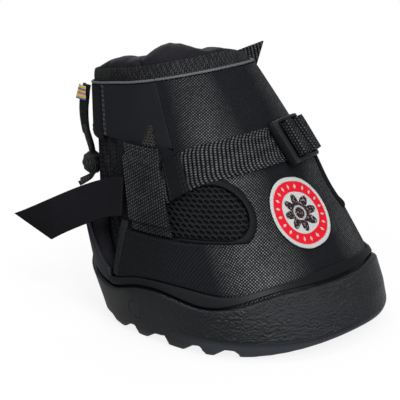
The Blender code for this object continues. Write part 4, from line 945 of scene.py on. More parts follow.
def twisted(frame, x, stand, z):
    """A point of the pull's tape, which turns towards the right side and bows outwards below its seam."""
    turn = PULL_TWIST * lerp(0.7, 1.0, ease(-z / 0.010))
    down = clamp(-z / TAPE_LENGTH)
    bow = lerp(0.0021, PULL_BOW, down) + 0.0016 * sin(pi * down)
    return frame @ Vector((x * cos(turn) - stand * sin(turn), x * sin(turn) + stand * cos(turn) + bow, z))


def cord_route(side):
    """From the tape's foot down through the knot to the kicked end."""
    knot_top = -PULL_LENGTH - CORD_DROP
    beside = side * CORD_SPREAD / 2
    foot = Vector((beside, 0.0, knot_top - 2 * KNOT_RISE))
    strand = []
    for share in (k / 12 for k in range(13)):
        bulge = 0.00035 * sin(pi * share) * side
        height = lerp(-PULL_LENGTH + 0.0001, knot_top, share)
        strand.append(Vector((beside + bulge, PULL_BOW * (1 - ease(share)), height)))
    inside = [Vector((foot.x, 0.0, lerp(knot_top, foot.z, k / 5))) for k in range(1, 6)]
    bend = foot + Vector((0.0, 0.0008, -CORD_END / 2))
    end = foot + Vector((side * CORD_END_SPREAD / 2, CORD_KICK, -CORD_END))
    return strand + inside + bezier(foot, bend, bend, end, 8)[1:]


def make_pull():
    frame = pull_frame()
    columns = []
    for x in spread(-0.5, 0.5, 0.1):
        column = []
        for share in spread(0.0, 1.0, 0.06):
            width = lerp(TAPE_FOOT_WIDTH, TAPE_TOP_WIDTH, share ** 0.6)
            fold = 0.0004 * cos(2 * pi * x) * (0.4 + share)
            column.append(twisted(frame, -x * width, TAPE_STAND + fold - 0.0004, -TAPE_LENGTH * (1 - share)))
        columns.append(column)
    carried(panel("pull_tape_folded", columns, BINDING_TAPE, 0.0020, 0.0005), "pull", "pull_tape")
    columns = [[twisted(frame, -x, TAPE_STAND + FIT_GAP + 0.0006 + 0.0004 * cos(x / 0.0048 * pi / 2), z)
                for z in spread(LABEL_FOOT, LABEL_TOP, 0.001)]
               for x in spread(-LABEL_HALF_WIDTH, LABEL_HALF_WIDTH, 0.0008)]
    carried(panel("pull_label_woven", columns, LABEL_WEAVE, 0.0006, 0.0002), "pull", "pull_label")
    knot = carried(make_knot(frame), "pull", "pull_knot")
    for side, letter in ((-1, "a"), (1, "b")):
        path = [frame @ p for p in cord_route(side)]
        strand = tube(f"pull_cord_braid_{letter}", path, CORD_DIAMETER / 2, CORD_BRAID, 14)
        carried(strand, "pull", f"pull_cord_{letter}", f"cord_end_{letter}")


def make_knot(frame):
    """A woven ball knot: crossing strands stand proud of it."""
    middle = Vector((0.0, 0.0, -PULL_LENGTH - CORD_DROP - KNOT_RISE))
    turns, rows, loops = 48, 28, []
    for k in range(turns + 1):
        around = 2 * pi * k / turns
        loop = []
        for j in range(rows + 1):
            lift = lerp(-0.93, 0.93, j / rows) * pi / 2
            weave = sin(3 * around + 5 * lift) * sin(3 * around - 5 * lift)
            radius = KNOT_RADIUS * (1.02 + 0.075 * weave)
            flat = 0.90 if abs(lift) > 1.2 else 1.0
            loop.append(frame @ (middle + Vector((radius * cos(lift) * cos(around), radius * cos(lift) * sin(around),
                                                  flat * radius * sin(lift) * 1.14))))
        loops.append(loop)
    return link("pull_knot_woven", mend(grid_mesh("pull_knot_woven", loops), fill=True), CORD_BRAID)


make_pull()


# Rubber: outsole, toe rand and heel cup

BULGE_STAND, BULGE_HEIGHT, BELLY_SHARE = OVERLAY_FOOT + 0.0045, 0.009, 0.45
EDGE_HEIGHT, EDGE_INSET, TREAD_INSET = 0.004, 0.0011, 0.0033
TOE_SPRING, HEEL_SPRING = 0.006, 0.0025
BELOW_TREAD, JUST_BELOW_TREAD, SOLE_HALF_WIDTH, LUG_HALF_WIDTH = -0.006, -0.0001, 0.085, 0.011
CHANNEL_SIDE, CHANNEL_HALF, CHANNEL_DEPTH, CHANNEL_ENDS = 0.023, 0.00275, 0.0038, (-0.085, 0.043)
RAND_END, RAND_STAND, RAND_THICKNESS = 107.5, 0.00425, 0.0019
COUNTER_THICKNESS, COUNTER_TOP_STAND = 0.0027, 0.0090
SOLE_CELL = 0.0009
PADDING_ENDS, PADDING_LOW, PADDING_DROP, PADDING_ROUND = (112.0, 248.0), 0.030, 0.0018, 0.0016

# Each notch across the tread, from the rear: x where it begins, x and depth where its gentle slope ends, and x
# and depth of the corner above its steep front face
TREAD_NOTCHES = ((-0.0580, -0.0525, 0.0034, -0.0443, 0.0044), (-0.0350, -0.0275, 0.0046, -0.0220, 0.0056),
                 (-0.0158, -0.0075, 0.0046, 0.0006, 0.0056), (0.0100, 0.0172, 0.0045, 0.0224, 0.0052),
                 (0.0268, 0.0345, 0.0052, 0.0400, 0.0050))


def sole_column(angle):
    """Section of the outsole from the middle of the tread round its wall and down inside to the floor."""
    along = cos(radians(angle))
    lift = TOE_SPRING * max(along, 0.0) ** 3 + HEEL_SPRING * max(-along, 0.0) ** 3
    rim = rim_height(angle)
    edge = wall(angle, 0.0, BULGE_STAND - TREAD_INSET)
    flat = [edge * 0.52, edge * 0.80]
    flat[1].z = lift * 0.80 ** 6
    edge.z = lift
    outside = [wall(angle, EDGE_HEIGHT, BULGE_STAND - EDGE_INSET), wall(angle, BULGE_HEIGHT, BULGE_STAND),
               wall(angle, lerp(BULGE_HEIGHT, rim, BELLY_SHARE), lerp(BULGE_STAND, RIM_STAND, BELLY_SHARE)),
               wall(angle, rim - 0.0008, RIM_STAND), wall(angle, rim, RIM_STAND - 0.0009)]
    outside[0].z += lift * 0.6
    outside[1].z += lift * 0.1
    knee = min(BASE_HEIGHT, rim - FIT_GAP)
    inside = [wall(angle, h, OVERLAY_FOOT) for h in (rim, knee, lerp(LAST_HEIGHT, knee, 0.5), LAST_HEIGHT)]
    return [Vector((0.0, 0.0, 0.0))] + flat + [edge] + outside + inside + [Vector((0.0, 0.0, LAST_HEIGHT))]


def notch_blocks(begin, summit, depth, steep, corner):
    """A notch on each side. The rows end at slightly different places, so that no two of their faces are flush."""
    profile = ((begin, BELOW_TREAD), (begin, JUST_BELOW_TREAD), (lerp(begin, summit, 0.55), depth * 0.62),
               (summit, depth), (steep, corner), (steep + 0.0002, JUST_BELOW_TREAD), (steep + 0.0002, BELOW_TREAD))
    outer, inner = begin / 100, begin / 200
    return [closed_loft("tread_notch", [[Vector((x, y, z)) for x, z in profile] for y in ends], SOLE_RUBBER)
            for ends in ((outer - SOLE_HALF_WIDTH, inner - LUG_HALF_WIDTH),
                         (inner + LUG_HALF_WIDTH, outer + SOLE_HALF_WIDTH))]


def make_sole():
    loops = [sole_column(a) for a in range(-180, 180, 3)]
    count = len(loops[0])
    faces = []
    for i in range(len(loops)):
        a, b = i * count, (i + 1) % len(loops) * count
        faces += [(a + j, a + j + 1, b + j + 1, b + j) for j in range(count - 1)]
    sole = welded("outsole_moulded", [v for loop in loops for v in loop], faces, SOLE_RUBBER)
    blocks = [block for notch in TREAD_NOTCHES for block in notch_blocks(*notch)]
    for y in (-CHANNEL_SIDE, CHANNEL_SIDE):
        low, high = y - CHANNEL_HALF, y + CHANNEL_HALF
        corners = ((low, BELOW_TREAD), (low, CHANNEL_DEPTH), (high, CHANNEL_DEPTH), (high, BELOW_TREAD))
        blocks.append(closed_loft("tread_channel", [[Vector((x, v, z)) for v, z in corners] for x in CHANNEL_ENDS],
                                  SOLE_RUBBER))
    sole = carried(even_out(cut_away(sole, *blocks), SOLE_CELL, 3), "boot", "outsole")
    shade(sole.data, 80.0)
    for vertex in sole.data.vertices:
        vertex.co.z = max(vertex.co.z, 0.0)


def make_rand():
    def stand(a, h):
        across = 2 * (h - rim_height(a)) / (rand_top(a) - rim_height(a)) - 1
        return RAND_STAND - 0.0003 * across ** 4

    rand = wall_panel("toe_rand_band", spread(-RAND_END, RAND_END, 1.5), lambda a: rim_height(a) + 0.0013, rand_top,
                      6, stand, RAND_THICKNESS, RAND_RUBBER, edge=0.0006)
    carried(rand, "boot", "toe_rand")


def cup_stand(a, h):
    rise = (h - RIM_HEIGHT) / (COUNTER_HEIGHT - RIM_HEIGHT)
    return lerp(RIM_STAND - 0.0005, COUNTER_TOP_STAND, rise)


def make_heel_cup():
    counter = wall_panel("heel_counter_cup", spread(COUNTER_START, 360 - COUNTER_START, 1.6),
                         lambda a: rim_height(a) + 0.0006, counter_top, 10, cup_stand, COUNTER_THICKNESS,
                         COUNTER_RUBBER, edge=0.0008)
    carried(counter, "boot", "heel_counter")
    tops = [(a, counter_top(a) - PADDING_DROP) for a in spread(*PADDING_ENDS, 2.0)]
    rows = max(len(spread(PADDING_LOW, top - PADDING_ROUND, 0.0035)) for _, top in tops)
    loops = []
    for a, top in tops:
        inner = -0.0038 * (1 - ease((top - 0.058) / 0.012))
        heights = [lerp(PADDING_LOW, top - PADDING_ROUND, k / rows) for k in range(rows + 1)]
        outside = [(cup_stand(a, h) - COUNTER_THICKNESS - 0.0004, h) for h in heights]
        crest = [(lerp(outside[-1][0], inner, k / 5), top - PADDING_ROUND * abs(2 * k / 5 - 1) ** 2.5)
                 for k in range(1, 5)]
        ring = outside + crest + [(inner, h) for h in reversed(heights)]
        loops.append([wall(a, h, stand) for stand, h in ring])
    pad = closed_loft("heel_cup_padding", loops, PAD_CLOTH)
    shade(pad.data, 60.0)
    carried(pad, "boot")


# The upper's cloth

def make_shell():
    shell = wall_panel("vamp_cloth", spread(-VAMP_LOW[0], VAMP_LOW[0], 2.0), lambda a: UPPER_FOOT, piping_height, 34,
                       SHELL_CLOTH, SHELL_CLOTH, NYLON, edge=0.0)
    blocks = []
    for side, _ in SIDES:
        slit = CUFF_BOTTOM - FIT_GAP
        levels = [(0.008, VAMP_LOW[0]), (VAMP_LOW[1], VAMP_LOW[0]), (0.047, 102.0), (VAMP_HIGH[1], VAMP_HIGH[0]),
                  (0.080, VAMP_HIGH[0]), (slit, VAMP_HIGH[0]), (slit + 1e-5, CUFF_SEAM), (0.126, CUFF_SEAM),
                  (0.138, CUFF_SEAM)]
        columns = [[wall(side * lerp(edge, 117.0, k / 9), h, 0.006) for h, edge in levels] for k in range(10)]
        blocks.append(panel(f"notch_{side}", facing_out(columns, side), THREAD, 0.010, edge=0.0))
        blocks.append(window_block(side))
    carried(cut_away(shell, *blocks), "boot", "vamp")
    lining = wall_panel("lining_padded", spread(-VAMP_HIGH[0], VAMP_HIGH[0], 3.0), lambda a: UPPER_FOOT, lining_top,
                        20, -FIT_GAP, LINING_THICKNESS, LINING_CLOTH)
    carried(lining, "boot", "lining")


def window_block(side):
    outline = [(side * a, h) for a, h in window_edge()]
    vertices = [wall(a, h, stand) for stand in (0.006, -0.004) for a, h in outline]
    count = len(outline)
    faces = [tuple(range(count)), tuple(range(2 * count - 1, count - 1, -1))]
    faces += [(k, (k + 1) % count, count + (k + 1) % count, count + k) for k in range(count)]
    return welded("window_block", vertices, faces, THREAD, split=True)


def inside_outline(x, y, outline):
    inside = False
    for (x0, y0), (x1, y1) in zip(outline, outline[1:] + outline[:1]):
        if (y0 > y) != (y1 > y) and x < (x1 - x0) * (y - y0) / (y1 - y0) + x0:
            inside = not inside
    return inside


def perforated(name, side, outline, stand, thickness, finish, cell=0.0032, hole=0.74, grow=1.05):
    """Large-hole mesh cloth over an area of the wall, from a lattice of slanted cells."""
    middle_a = sum(a for a, h in outline) / len(outline)
    middle_h = sum(h for a, h in outline) / len(outline)
    rate = (wall(middle_a + 2, middle_h) - wall(middle_a - 2, middle_h)).length / 4
    rise = wall(middle_a, middle_h + 0.002) - wall(middle_a, middle_h)
    rise = rise.z / rise.length
    edge = [((a - middle_a) * rate * grow, (h - middle_h) / rise * grow) for a, h in outline]
    row = cell * sin(radians(60))
    vertices, faces, known = [], [], {}

    def corner(i, j):
        if (i, j) not in known:
            known[(i, j)] = len(vertices)
            u, v = (i + j / 2) * cell, j * row
            vertices.append(wall(side * (middle_a + u / rate), middle_h + v * rise, stand))
        return known[(i, j)]

    reach = int(0.03 / cell)
    for j in range(-reach, reach):
        for i in range(-2 * reach, 2 * reach):
            if inside_outline((i + 0.5 + (j + 0.5) / 2) * cell, (j + 0.5) * row, edge):
                ids = tuple(corner(*c) for c in ((i, j), (i + 1, j), (i + 1, j + 1), (i, j + 1)))
                faces.append(ids if side > 0 else ids[::-1])
    made = link(name, plain_mesh(name, vertices, faces), finish)
    give_tree(made, PERFORATION_TREE, Hole_share=hole, Cloth=finish)
    thicken(made, thickness)
    return subdivide(made)


def window_rim():
    """Inner and outer edge of the cloth strip that binds a window, as (angle, height) places."""
    inner = [(min(a, 71.0), h) for a, h in window_edge(FIT_GAP, 28) if a < 72.0]
    outer = []
    for a, h in inner:
        du, dv = (a - WINDOW_NOSE) * (1 if a < WINDOW_NOSE else 0), h - (WINDOW_LOW + WINDOW_HIGH) / 2
        push = Vector((du * WINDOW_METRES_PER_DEGREE, dv, 0.0)).normalized() * WINDOW_RIM_WIDTH
        outer.append((a + push.x / WINDOW_METRES_PER_DEGREE, max(h + push.y, 0.0552)))
    return inner, outer


def make_windows():
    for side, name in SIDES:
        mesh = perforated(f"window_net_{name}", side, window_edge(), 0.0011, 0.0008, WINDOW_STRANDS)
        carried(mesh, "boot", f"mesh_window_{name}")
        pairs = list(zip(*window_rim()))
        columns = []
        for (a0, h0), (a1, h1) in pairs:
            column = []
            for share in (k / 6 for k in range(7)):
                stand = lerp(0.0026, SHELL_CLOTH, share ** 3) + 0.0003 * sin(pi * share) ** 0.6
                column.append(wall(side * lerp(a0, a1, share), lerp(h0, h1, share), stand))
            columns.append(column)
        rim = panel(f"window_rim_{name}", facing_out(columns, -side), RIM_CLOTH, 0.0006, 0.0002)
        carried(rim, "boot")
        for share in (0.18, 0.52, 0.84):
            sew("boot", [wall(side * lerp(a0, a1, share), lerp(h0, h1, share), 0.0027)
                         for (a0, h0), (a1, h1) in pairs])


QUARTER_FRONT, QUARTER_REAR, QUARTER_TOP, BINDING_SPAN = 46.0, 102.3, 0.0548, 4.7
BINDING_TOP = 0.0590


def quarter_stand(a):
    front = ease((abs(a) - QUARTER_FRONT) / ((VAMP_HIGH[0] - QUARTER_FRONT) * 0.6))
    return OVERLAY_FOOT + 0.0014 * lerp(0.2, 1.0, front)


def make_quarter(side, name):
    columns = []
    for share in spread(0.0, 1.0, 0.02):
        low = rand_top(lerp(QUARTER_FRONT, QUARTER_REAR, share)) + FIT_GAP
        column = []
        for height in (lerp(low, QUARTER_TOP, r / 12) for r in range(13)):
            angle = lerp(QUARTER_FRONT, vamp_edge(height) - BINDING_SPAN, share)
            column.append(wall(side * angle, height, quarter_stand(angle)))
        columns.append(column)
    piece = panel(f"quarter_overlay_{name}", facing_out(columns, side), NYLON, 0.0011, 0.0003,
                  origin=len(columns) - 1 if side < 0 else 0)
    carried(piece, "boot", f"quarter_{name}")
    seam = [(lerp(49.0, vamp_edge(0.0535) - 5.2, k / 30), 0.0537) for k in range(31)]
    sew("boot", [wall(side * a, h, quarter_stand(a) + 0.0001) for a, h in seam])


def make_binding(side, name):
    low = rand_top(QUARTER_REAR) + FIT_GAP
    columns = []
    for height in spread(low, BINDING_TOP, 0.0012):
        column = []
        for share in (k / 8 for k in range(9)):
            angle = lerp(vamp_edge(height) - 0.25, vamp_edge(height) - 4.2, share)
            column.append(wall(side * angle, height, OVERLAY_FOOT + 0.0012 * (1 - 0.5 * (2 * share - 1) ** 4)))
        columns.append(column)
    tape = panel(f"edge_binding_tape_{name}", facing_out(columns, side), BINDING_TAPE, 0.0009, 0.0003)
    carried(tape, "boot", f"edge_binding_{name}")
    sew("boot", [wall(side * (vamp_edge(h) - 3.4), h, OVERLAY_FOOT + 0.0011)
                 for h in spread(low, BINDING_TOP - 0.0005, 0.001)])


def make_quarters():
    for side, name in SIDES:
        make_quarter(side, name)
        make_binding(side, name)


def cuff_puff(a, h):
    """Slight fullness of the cuff between its seams."""
    inward = clamp(min(abs(a) - CUFF_FRONT, CUFF_REAR - abs(a)) / 5.0)
    upward = clamp(min(h - CUFF_BOTTOM, piping_height(a) - h) / 0.004)
    return SHELL_CLOTH + 0.0004 * ease(min(inward, upward))


def make_cuffs():
    for side, name in SIDES:
        low, high = sorted((side * (CUFF_FRONT - 0.55), side * CUFF_REAR))
        cuff = wall_panel(f"cuff_flap_{name}", spread(low, high, 1.5), lambda a: CUFF_BOTTOM, piping_height, 14,
                          cuff_puff, SHELL_CLOTH, CUFF_CLOTH, edge=0.0003)
        carried(cuff, f"cuff_{name}", f"cuff_{name}")
        for inset in (1.8, 3.4):
            sew(f"cuff_{name}", [wall(side * (CUFF_REAR - inset), h, SHELL_CLOTH + 0.0003)
                                 for h in spread(CUFF_BOTTOM + 0.001, 0.121, 0.001)], pale=True)
        gusset = [(KEEPER_FRONT + 1.5, CUFF_BOTTOM + 0.0004), (KEEPER_FRONT + 1.0, CUFF_BOTTOM + 0.0118),
                  (KEEPER_FRONT + 11.5, CUFF_BOTTOM + 0.0004)]
        mesh = perforated(f"cuff_gusset_{name}", side, gusset, SHELL_CLOTH + 0.0012, 0.0006, GUSSET_MESH, 0.0019,
                          0.66, 1.0)
        carried(mesh, f"cuff_{name}")


def gaiter_stand(a, height):
    """The gaiter tucks in behind the outsole's rim, and its pleats run up it."""
    tuck = -FIT_GAP - 0.0040 * (1 - ease((height - 0.055) / 0.012))
    folds = cos(2 * pi * a / 3.6) + 0.35 * cos(2 * pi * a / 1.9 + 1.0)
    return tuck - 0.00045 * (1 - folds / 1.35) - 0.0001


def make_rear():
    gaiter = wall_panel("rear_gaiter_pleated", spread(GAITER_START, 360 - GAITER_START, 0.6), lambda a: 0.0146,
                        lining_top, 22, gaiter_stand, 0.0017, GAITER_MESH, edge=0.0)
    carried(gaiter, "boot", "rear_gaiter")
    back = wall_panel("rear_panel_cloth", spread(PANEL_START, 360 - PANEL_START, 2.0), lambda a: PANEL_BOTTOM,
                      piping_height, 14, SHELL_CLOTH, SHELL_CLOTH, NYLON, edge=0.0005)
    carried(back, "boot", "rear_panel")
    for rise in (0.0018, 0.0036):
        sew("boot", [wall(a, PANEL_BOTTOM + rise, SHELL_CLOTH + 0.0001)
                     for a in spread(PANEL_START + 1, 359 - PANEL_START, 1.5)])


# Collar

PAD_REACH, PAD_RISE, PAD_BEND, PAD_CELL, MOST_SWELL = 0.0125, 0.0078, -0.0012, 0.0017, 0.0009
PIPING_RADIUS = 0.00070

# Creases pressed into the rolls: angle, depth in metres and width in millimetres
PINCHES = ((-58.0, 0.0013, 1.6), (-50.0, 0.0009, 1.2), (-34.0, 0.0006, 2.0), (-93.0, 0.0010, 1.8),
           (-112.0, 0.0007, 2.2), (60.0, 0.0008, 2.0), (98.0, 0.0008, 2.0), (152.0, 0.0007, 2.0),
           (205.0, 0.0007, 2.0))


def make_band():
    def stand(a, h):
        above = clamp((h - piping_height(a)) / band_rise(a))
        return -FIT_GAP + 0.0007 * sin(pi * above) ** 0.8 if above > 0 else -FIT_GAP

    band = wall_panel("collar_band_ribbed", [k * 1.25 - 180 for k in range(288)],
                      lambda a: piping_height(a) - 0.005, lambda a: piping_height(a) + band_rise(a), 14, stand,
                      0.0017, BAND_MESH, edge=0.0005, ring=True)
    carried(band, "boot", "collar_band")


def pad_section(angle, fullness, shrink):
    """Section of a collar roll as (stand, height) pairs, a little inside its CAD solid."""
    mean = piping_height(angle)
    lining, band = -0.0035, -0.0023
    band_top = mean + band_rise(angle) + FIT_GAP
    crest_share = share_at(angle, PAD_RIGHT if angle % 360 > 180 else PAD_LEFT)
    crest = band_top + 0.0010 + PAD_RISE * crest_share * fullness
    inside = lining - PAD_REACH * fullness
    middle, low = lerp(inside, lining, 0.5), mean - 0.013
    ring = [(lining, low + 0.0026), (lining, mean - LINING_DROP), (lining, lerp(mean, band_top, 0.3)),
            (band - FIT_GAP, band_top), (PAD_BEND, lerp(band_top, crest, 0.45)),
            (lerp(PAD_BEND, inside, 0.25), lerp(band_top, crest, 0.9)), (middle, crest),
            (lerp(middle, inside, 0.65), lerp(band_top, crest, 0.75)), (inside, lerp(mean, band_top, 0.5)),
            (lerp(inside, middle, 0.25), lerp(low, mean, 0.45)), (middle, low + 0.0011),
            (lerp(middle, lining, 0.6), low)]
    centre = (sum(s for s, h in ring) / len(ring), sum(h for s, h in ring) / len(ring))
    return [(lerp(s, centre[0], shrink), lerp(h, centre[1], shrink)) for s, h in ring]


def pinch(pad, angle, depth, width):
    """Presses one crease into a roll."""
    top = piping_height(angle)
    place = wall(angle, top)
    along = (wall(angle + 1, top) - place).normalized()
    outward = along.cross(UPWARD)
    for vertex in pad.data.vertices:
        off = vertex.co - place
        if off.length < 0.03:
            dent = depth * exp(-(off.dot(along) / (width * 0.001)) ** 2)
            sink = dent * 0.6 * clamp((vertex.co.z - top) / 0.008)
            vertex.co -= outward * dent * (0.35 + 0.65 * clamp(off.dot(outward) / 0.004 + 1))
            vertex.co.z -= sink


def make_pad(name, node, start, end):
    loops = []
    for a in spread(start + 0.7, end - 0.7, 2.0):
        fullness = lerp(0.8, 1.0, ease(min(a - start, end - a) / 12.0))
        loops.append([wall(a, h, s) for s, h in pad_section(a, fullness, 0.07)])
    pad = even_out(closed_loft(name, loops, PAD_CLOTH), PAD_CELL, 2)
    swell(pad, MOST_SWELL)
    for angle, depth, width in PINCHES:
        if start < (angle if angle >= start else angle + 360) < end:
            pinch(pad, angle, depth, width)
    carried(subdivide(pad), "boot", node)


def swell(pad, cap):
    """Cloth simulation: the filling pushes the cover out, by no more than the cap."""
    rest = [v.co.copy() for v in pad.data.vertices]
    settings = pad.modifiers.new("cloth", 'CLOTH').settings
    settings.use_pressure = True
    settings.uniform_pressure_force = 4.0
    settings.effector_weights.gravity = 0.0
    settings.quality = 5
    scene = bpy.context.scene
    for step in range(1, 21):
        scene.frame_set(step)
    depsgraph = bpy.context.evaluated_depsgraph_get()
    places = [v.co.copy() for v in pad.evaluated_get(depsgraph).data.vertices]
    pad.modifiers.clear()
    scene.frame_set(1)
    for vertex, old, new in zip(pad.data.vertices, rest, places):
        shift = new - old
        if shift.length > cap:
            shift = shift.normalized() * cap
        vertex.co = old + shift


def make_pads():
    right, front, left, rear = PAD_CREASES
    for name, start, end in (("front", front, left), ("left", left, rear), ("rear", rear, right + 360),
                             ("right", right, front)):
        make_pad(f"collar_roll_{name}", f"collar_pad_{name}", start, end)


def make_piping():
    for name, body, start, end in (("front", "boot", -CUFF_SEAM, CUFF_SEAM),
                                   ("left", "cuff_left", CUFF_FRONT, CUFF_REAR),
                                   ("right", "cuff_right", -CUFF_REAR, -CUFF_FRONT),
                                   ("rear", "boot", PANEL_START, 360 - PANEL_START)):
        points = [wall(a, piping_height(a) + FIT_GAP + PIPING_RADIUS, SHELL_CLOTH - 0.0005)
                  for a in spread(start, end, 1.5)]
        piece = tube(f"piping_cord_{name}", points, PIPING_RADIUS, PIPING_CLOTH, 12)
        carried(piece, body, f"piping_{name}")


# Straps

RIB_PITCH, RIB_DEPTH = 0.0023, 0.00013
FOLD_FRONT, FOLD_REAR, FOLD_TOP = 59.0, 70.6, WEBBING_OUTER + FIT_GAP + 0.0011
TAIL_ROOT, TAIL_LENGTH, TAIL_CUT_BACK = 94.2, 0.079, 0.020


def strap_point(a, v, stand):
    """A point of the strap at an angle, from -1 at its lower edge to 1 at its upper edge."""
    return wall(a, strap_height(a) + strap_half(a) * v, stand)


def ribbed(start, end, stand):
    """Strap columns with a shallow rib every 2.3 mm."""
    columns, run, last = [], 0.0, None
    for a in spread(start, end, 0.45):
        at = wall(a, strap_height(a), stand)
        run += (at - last).length if last else 0.0
        last = at
        rib = RIB_DEPTH * cos(2 * pi * run / RIB_PITCH)
        columns.append([strap_point(a, v, stand + rib * (1 - v ** 8) - 0.0002 * v ** 6)
                        for v in spread(-1.0, 1.0, 0.2)])
    return columns


def keeper_columns(side):
    """The keeper lies on the vamp, and arches over the strap."""
    low_strap = strap_height(KEEPER_REAR) - strap_half(KEEPER_REAR) - 2 * FIT_GAP
    high_strap = strap_height(KEEPER_FRONT) + strap_half(KEEPER_FRONT) + 2 * FIT_GAP
    rise, arch = 0.0018, WEBBING + FIT_GAP
    stations = [(KEEPER_BOTTOM, 0), (low_strap - rise, 0), (low_strap, 1), (high_strap, 1),
                (high_strap + rise / 2, 0), (KEEPER_TOP, 0)]
    heights = sorted(set(spread(KEEPER_BOTTOM, KEEPER_TOP, 0.0006) + [h for h, _ in stations]))
    columns = []
    for share in spread(0.0, 1.0, 0.1):
        column = []
        for height in heights:
            for (h0, r0), (h1, r1) in zip(stations, stations[1:]):
                if height <= h1:
                    break
            raised = lerp(r0, r1, ease((height - h0) / (h1 - h0)))
            lean = KEEPER_LEAN * (KEEPER_TOP - height) / (KEEPER_TOP - KEEPER_BOTTOM)
            angle = lerp(KEEPER_FRONT + lean, KEEPER_REAR + lean / 4, share)
            column.append(wall(side * angle, height, OVERLAY_FOOT + arch * raised + 0.0014))
        columns.append(column)
    return facing_out(columns, side)


def make_folded_end(side, name):
    start, end = sorted((side * FOLD_FRONT, side * FOLD_REAR))
    columns = []
    for a in spread(start, end, 0.5):
        roll = 0.0005 * (1 - ease((abs(a) - FOLD_FRONT) / 1.2))
        columns.append([strap_point(a, 1.02 * v, FOLD_TOP - roll - 0.0002 * v ** 8) for v in spread(-1.0, 1.0, 0.1)])
    fold = panel(f"strap_folded_end_{name}", columns, FOLD_CLOTH, 0.0009, 0.0003)
    carried(fold, "boot", f"strap_fold_{name}")
    for a in (60.4, 61.9, 69.4):
        sew("boot", [wall(side * a, strap_height(a) + strap_half(a) * 0.9 * v, FOLD_TOP + 0.0001)
                     for v in spread(-1, 1, 0.1)])


def make_tail(side, name):
    """The free tail leaves the wall behind the keeper and stands out towards its slanted tip."""
    stand = OVERLAY_FOOT + 0.0012 + FIT_GAP + 0.0009
    heading = Vector((-0.89, side * 0.12, -0.38)).normalized()
    root, behind = (wall(side * a, strap_height(a), stand) for a in (TAIL_ROOT, TAIL_ROOT + 5.0))
    away = (behind - root).normalized()
    tip = root + heading * TAIL_LENGTH
    path = bezier(root, root + away * TAIL_LENGTH / 4, tip - heading * TAIL_LENGTH / 3, tip, 48)
    height = strap_height(TAIL_ROOT)
    lean = (wall(side * TAIL_ROOT, height + 0.01) - wall(side * TAIL_ROOT, height - 0.01)).normalized()
    ups = [lean.lerp(UPWARD, ease(k / 48)) for k in range(49)]
    tail = ribbon(f"strap_tail_hook_{name}", path, ups, STRAP_WIDTH, WEBBING, TAIL_TAPE, TAIL_CUT_BACK, 10)
    carried(tail, f"tail_{name}", f"strap_tail_{name}")


def make_straps():
    for (side, name), ends in zip(SIDES, ((-92.4, 4.0), (48.0, 92.4))):
        strap = panel(f"strap_webbing_{name}", ribbed(*ends, WEBBING_OUTER - RIB_DEPTH), STRAP_WEAVE, 0.0015, 0.0003)
        carried(strap, "boot", f"strap_{name}")
        make_folded_end(side, name)
        columns = keeper_columns(side)
        keeper = panel(f"keeper_webbing_{name}", columns, KEEPER_WEAVE, 0.0012, 0.0003)
        carried(keeper, "boot", f"keeper_{name}")
        for r in (2, 5, -3, -6):
            sew("boot", [c[r] for c in columns])
        make_tail(side, name)


# Ladder lock and the webbing at it

LOCK_ANGLE, LOCK_HEIGHT, LOCK_LENGTH, LOCK_THICKNESS = 11.9, 0.0930, 0.0278, 0.0032
LOCK_WIDTH = STRAP_WIDTH + 2 * (LOOP_CLEARANCE + 0.0020)
LOCK_BEND_RADIUS, LIP_HEIGHT, MIDDLE_BAR_HALF, FAR_BAR_HALF = 0.052, 0.0022, 0.0020, 0.0015
FAR_BAR = LOCK_LENGTH / 2 - FAR_BAR_HALF
LOOP_WEBBING, BAR_PLAY = 0.0012, 0.0010


def lock_frame():
    at = wall(LOCK_ANGLE, LOCK_HEIGHT)
    u = (wall(LOCK_ANGLE + 1, LOCK_HEIGHT) - wall(LOCK_ANGLE - 1, LOCK_HEIGHT)).normalized()
    up = wall(LOCK_ANGLE, LOCK_HEIGHT + FIT_GAP) - wall(LOCK_ANGLE, LOCK_HEIGHT - FIT_GAP)
    v = (up - u * up.dot(u)).normalized()
    n = u.cross(v).normalized()
    frame = Matrix((u, v, n)).transposed().to_4x4()
    frame.translation = at + n * (WEBBING_OUTER + LOOP_CLEARANCE)
    return frame


def lock_sag(u):
    return -u * u / (2 * LOCK_BEND_RADIUS)


def squarish_arc(centre, reach, start, end, count):
    places = []
    for k in range(count + 1):
        turn = radians(lerp(start, end, k / count))
        places.append((centre[0] + reach[0] * signed_power(cos(turn), 0.5),
                       centre[1] + reach[1] * signed_power(sin(turn), 0.5)))
    return places


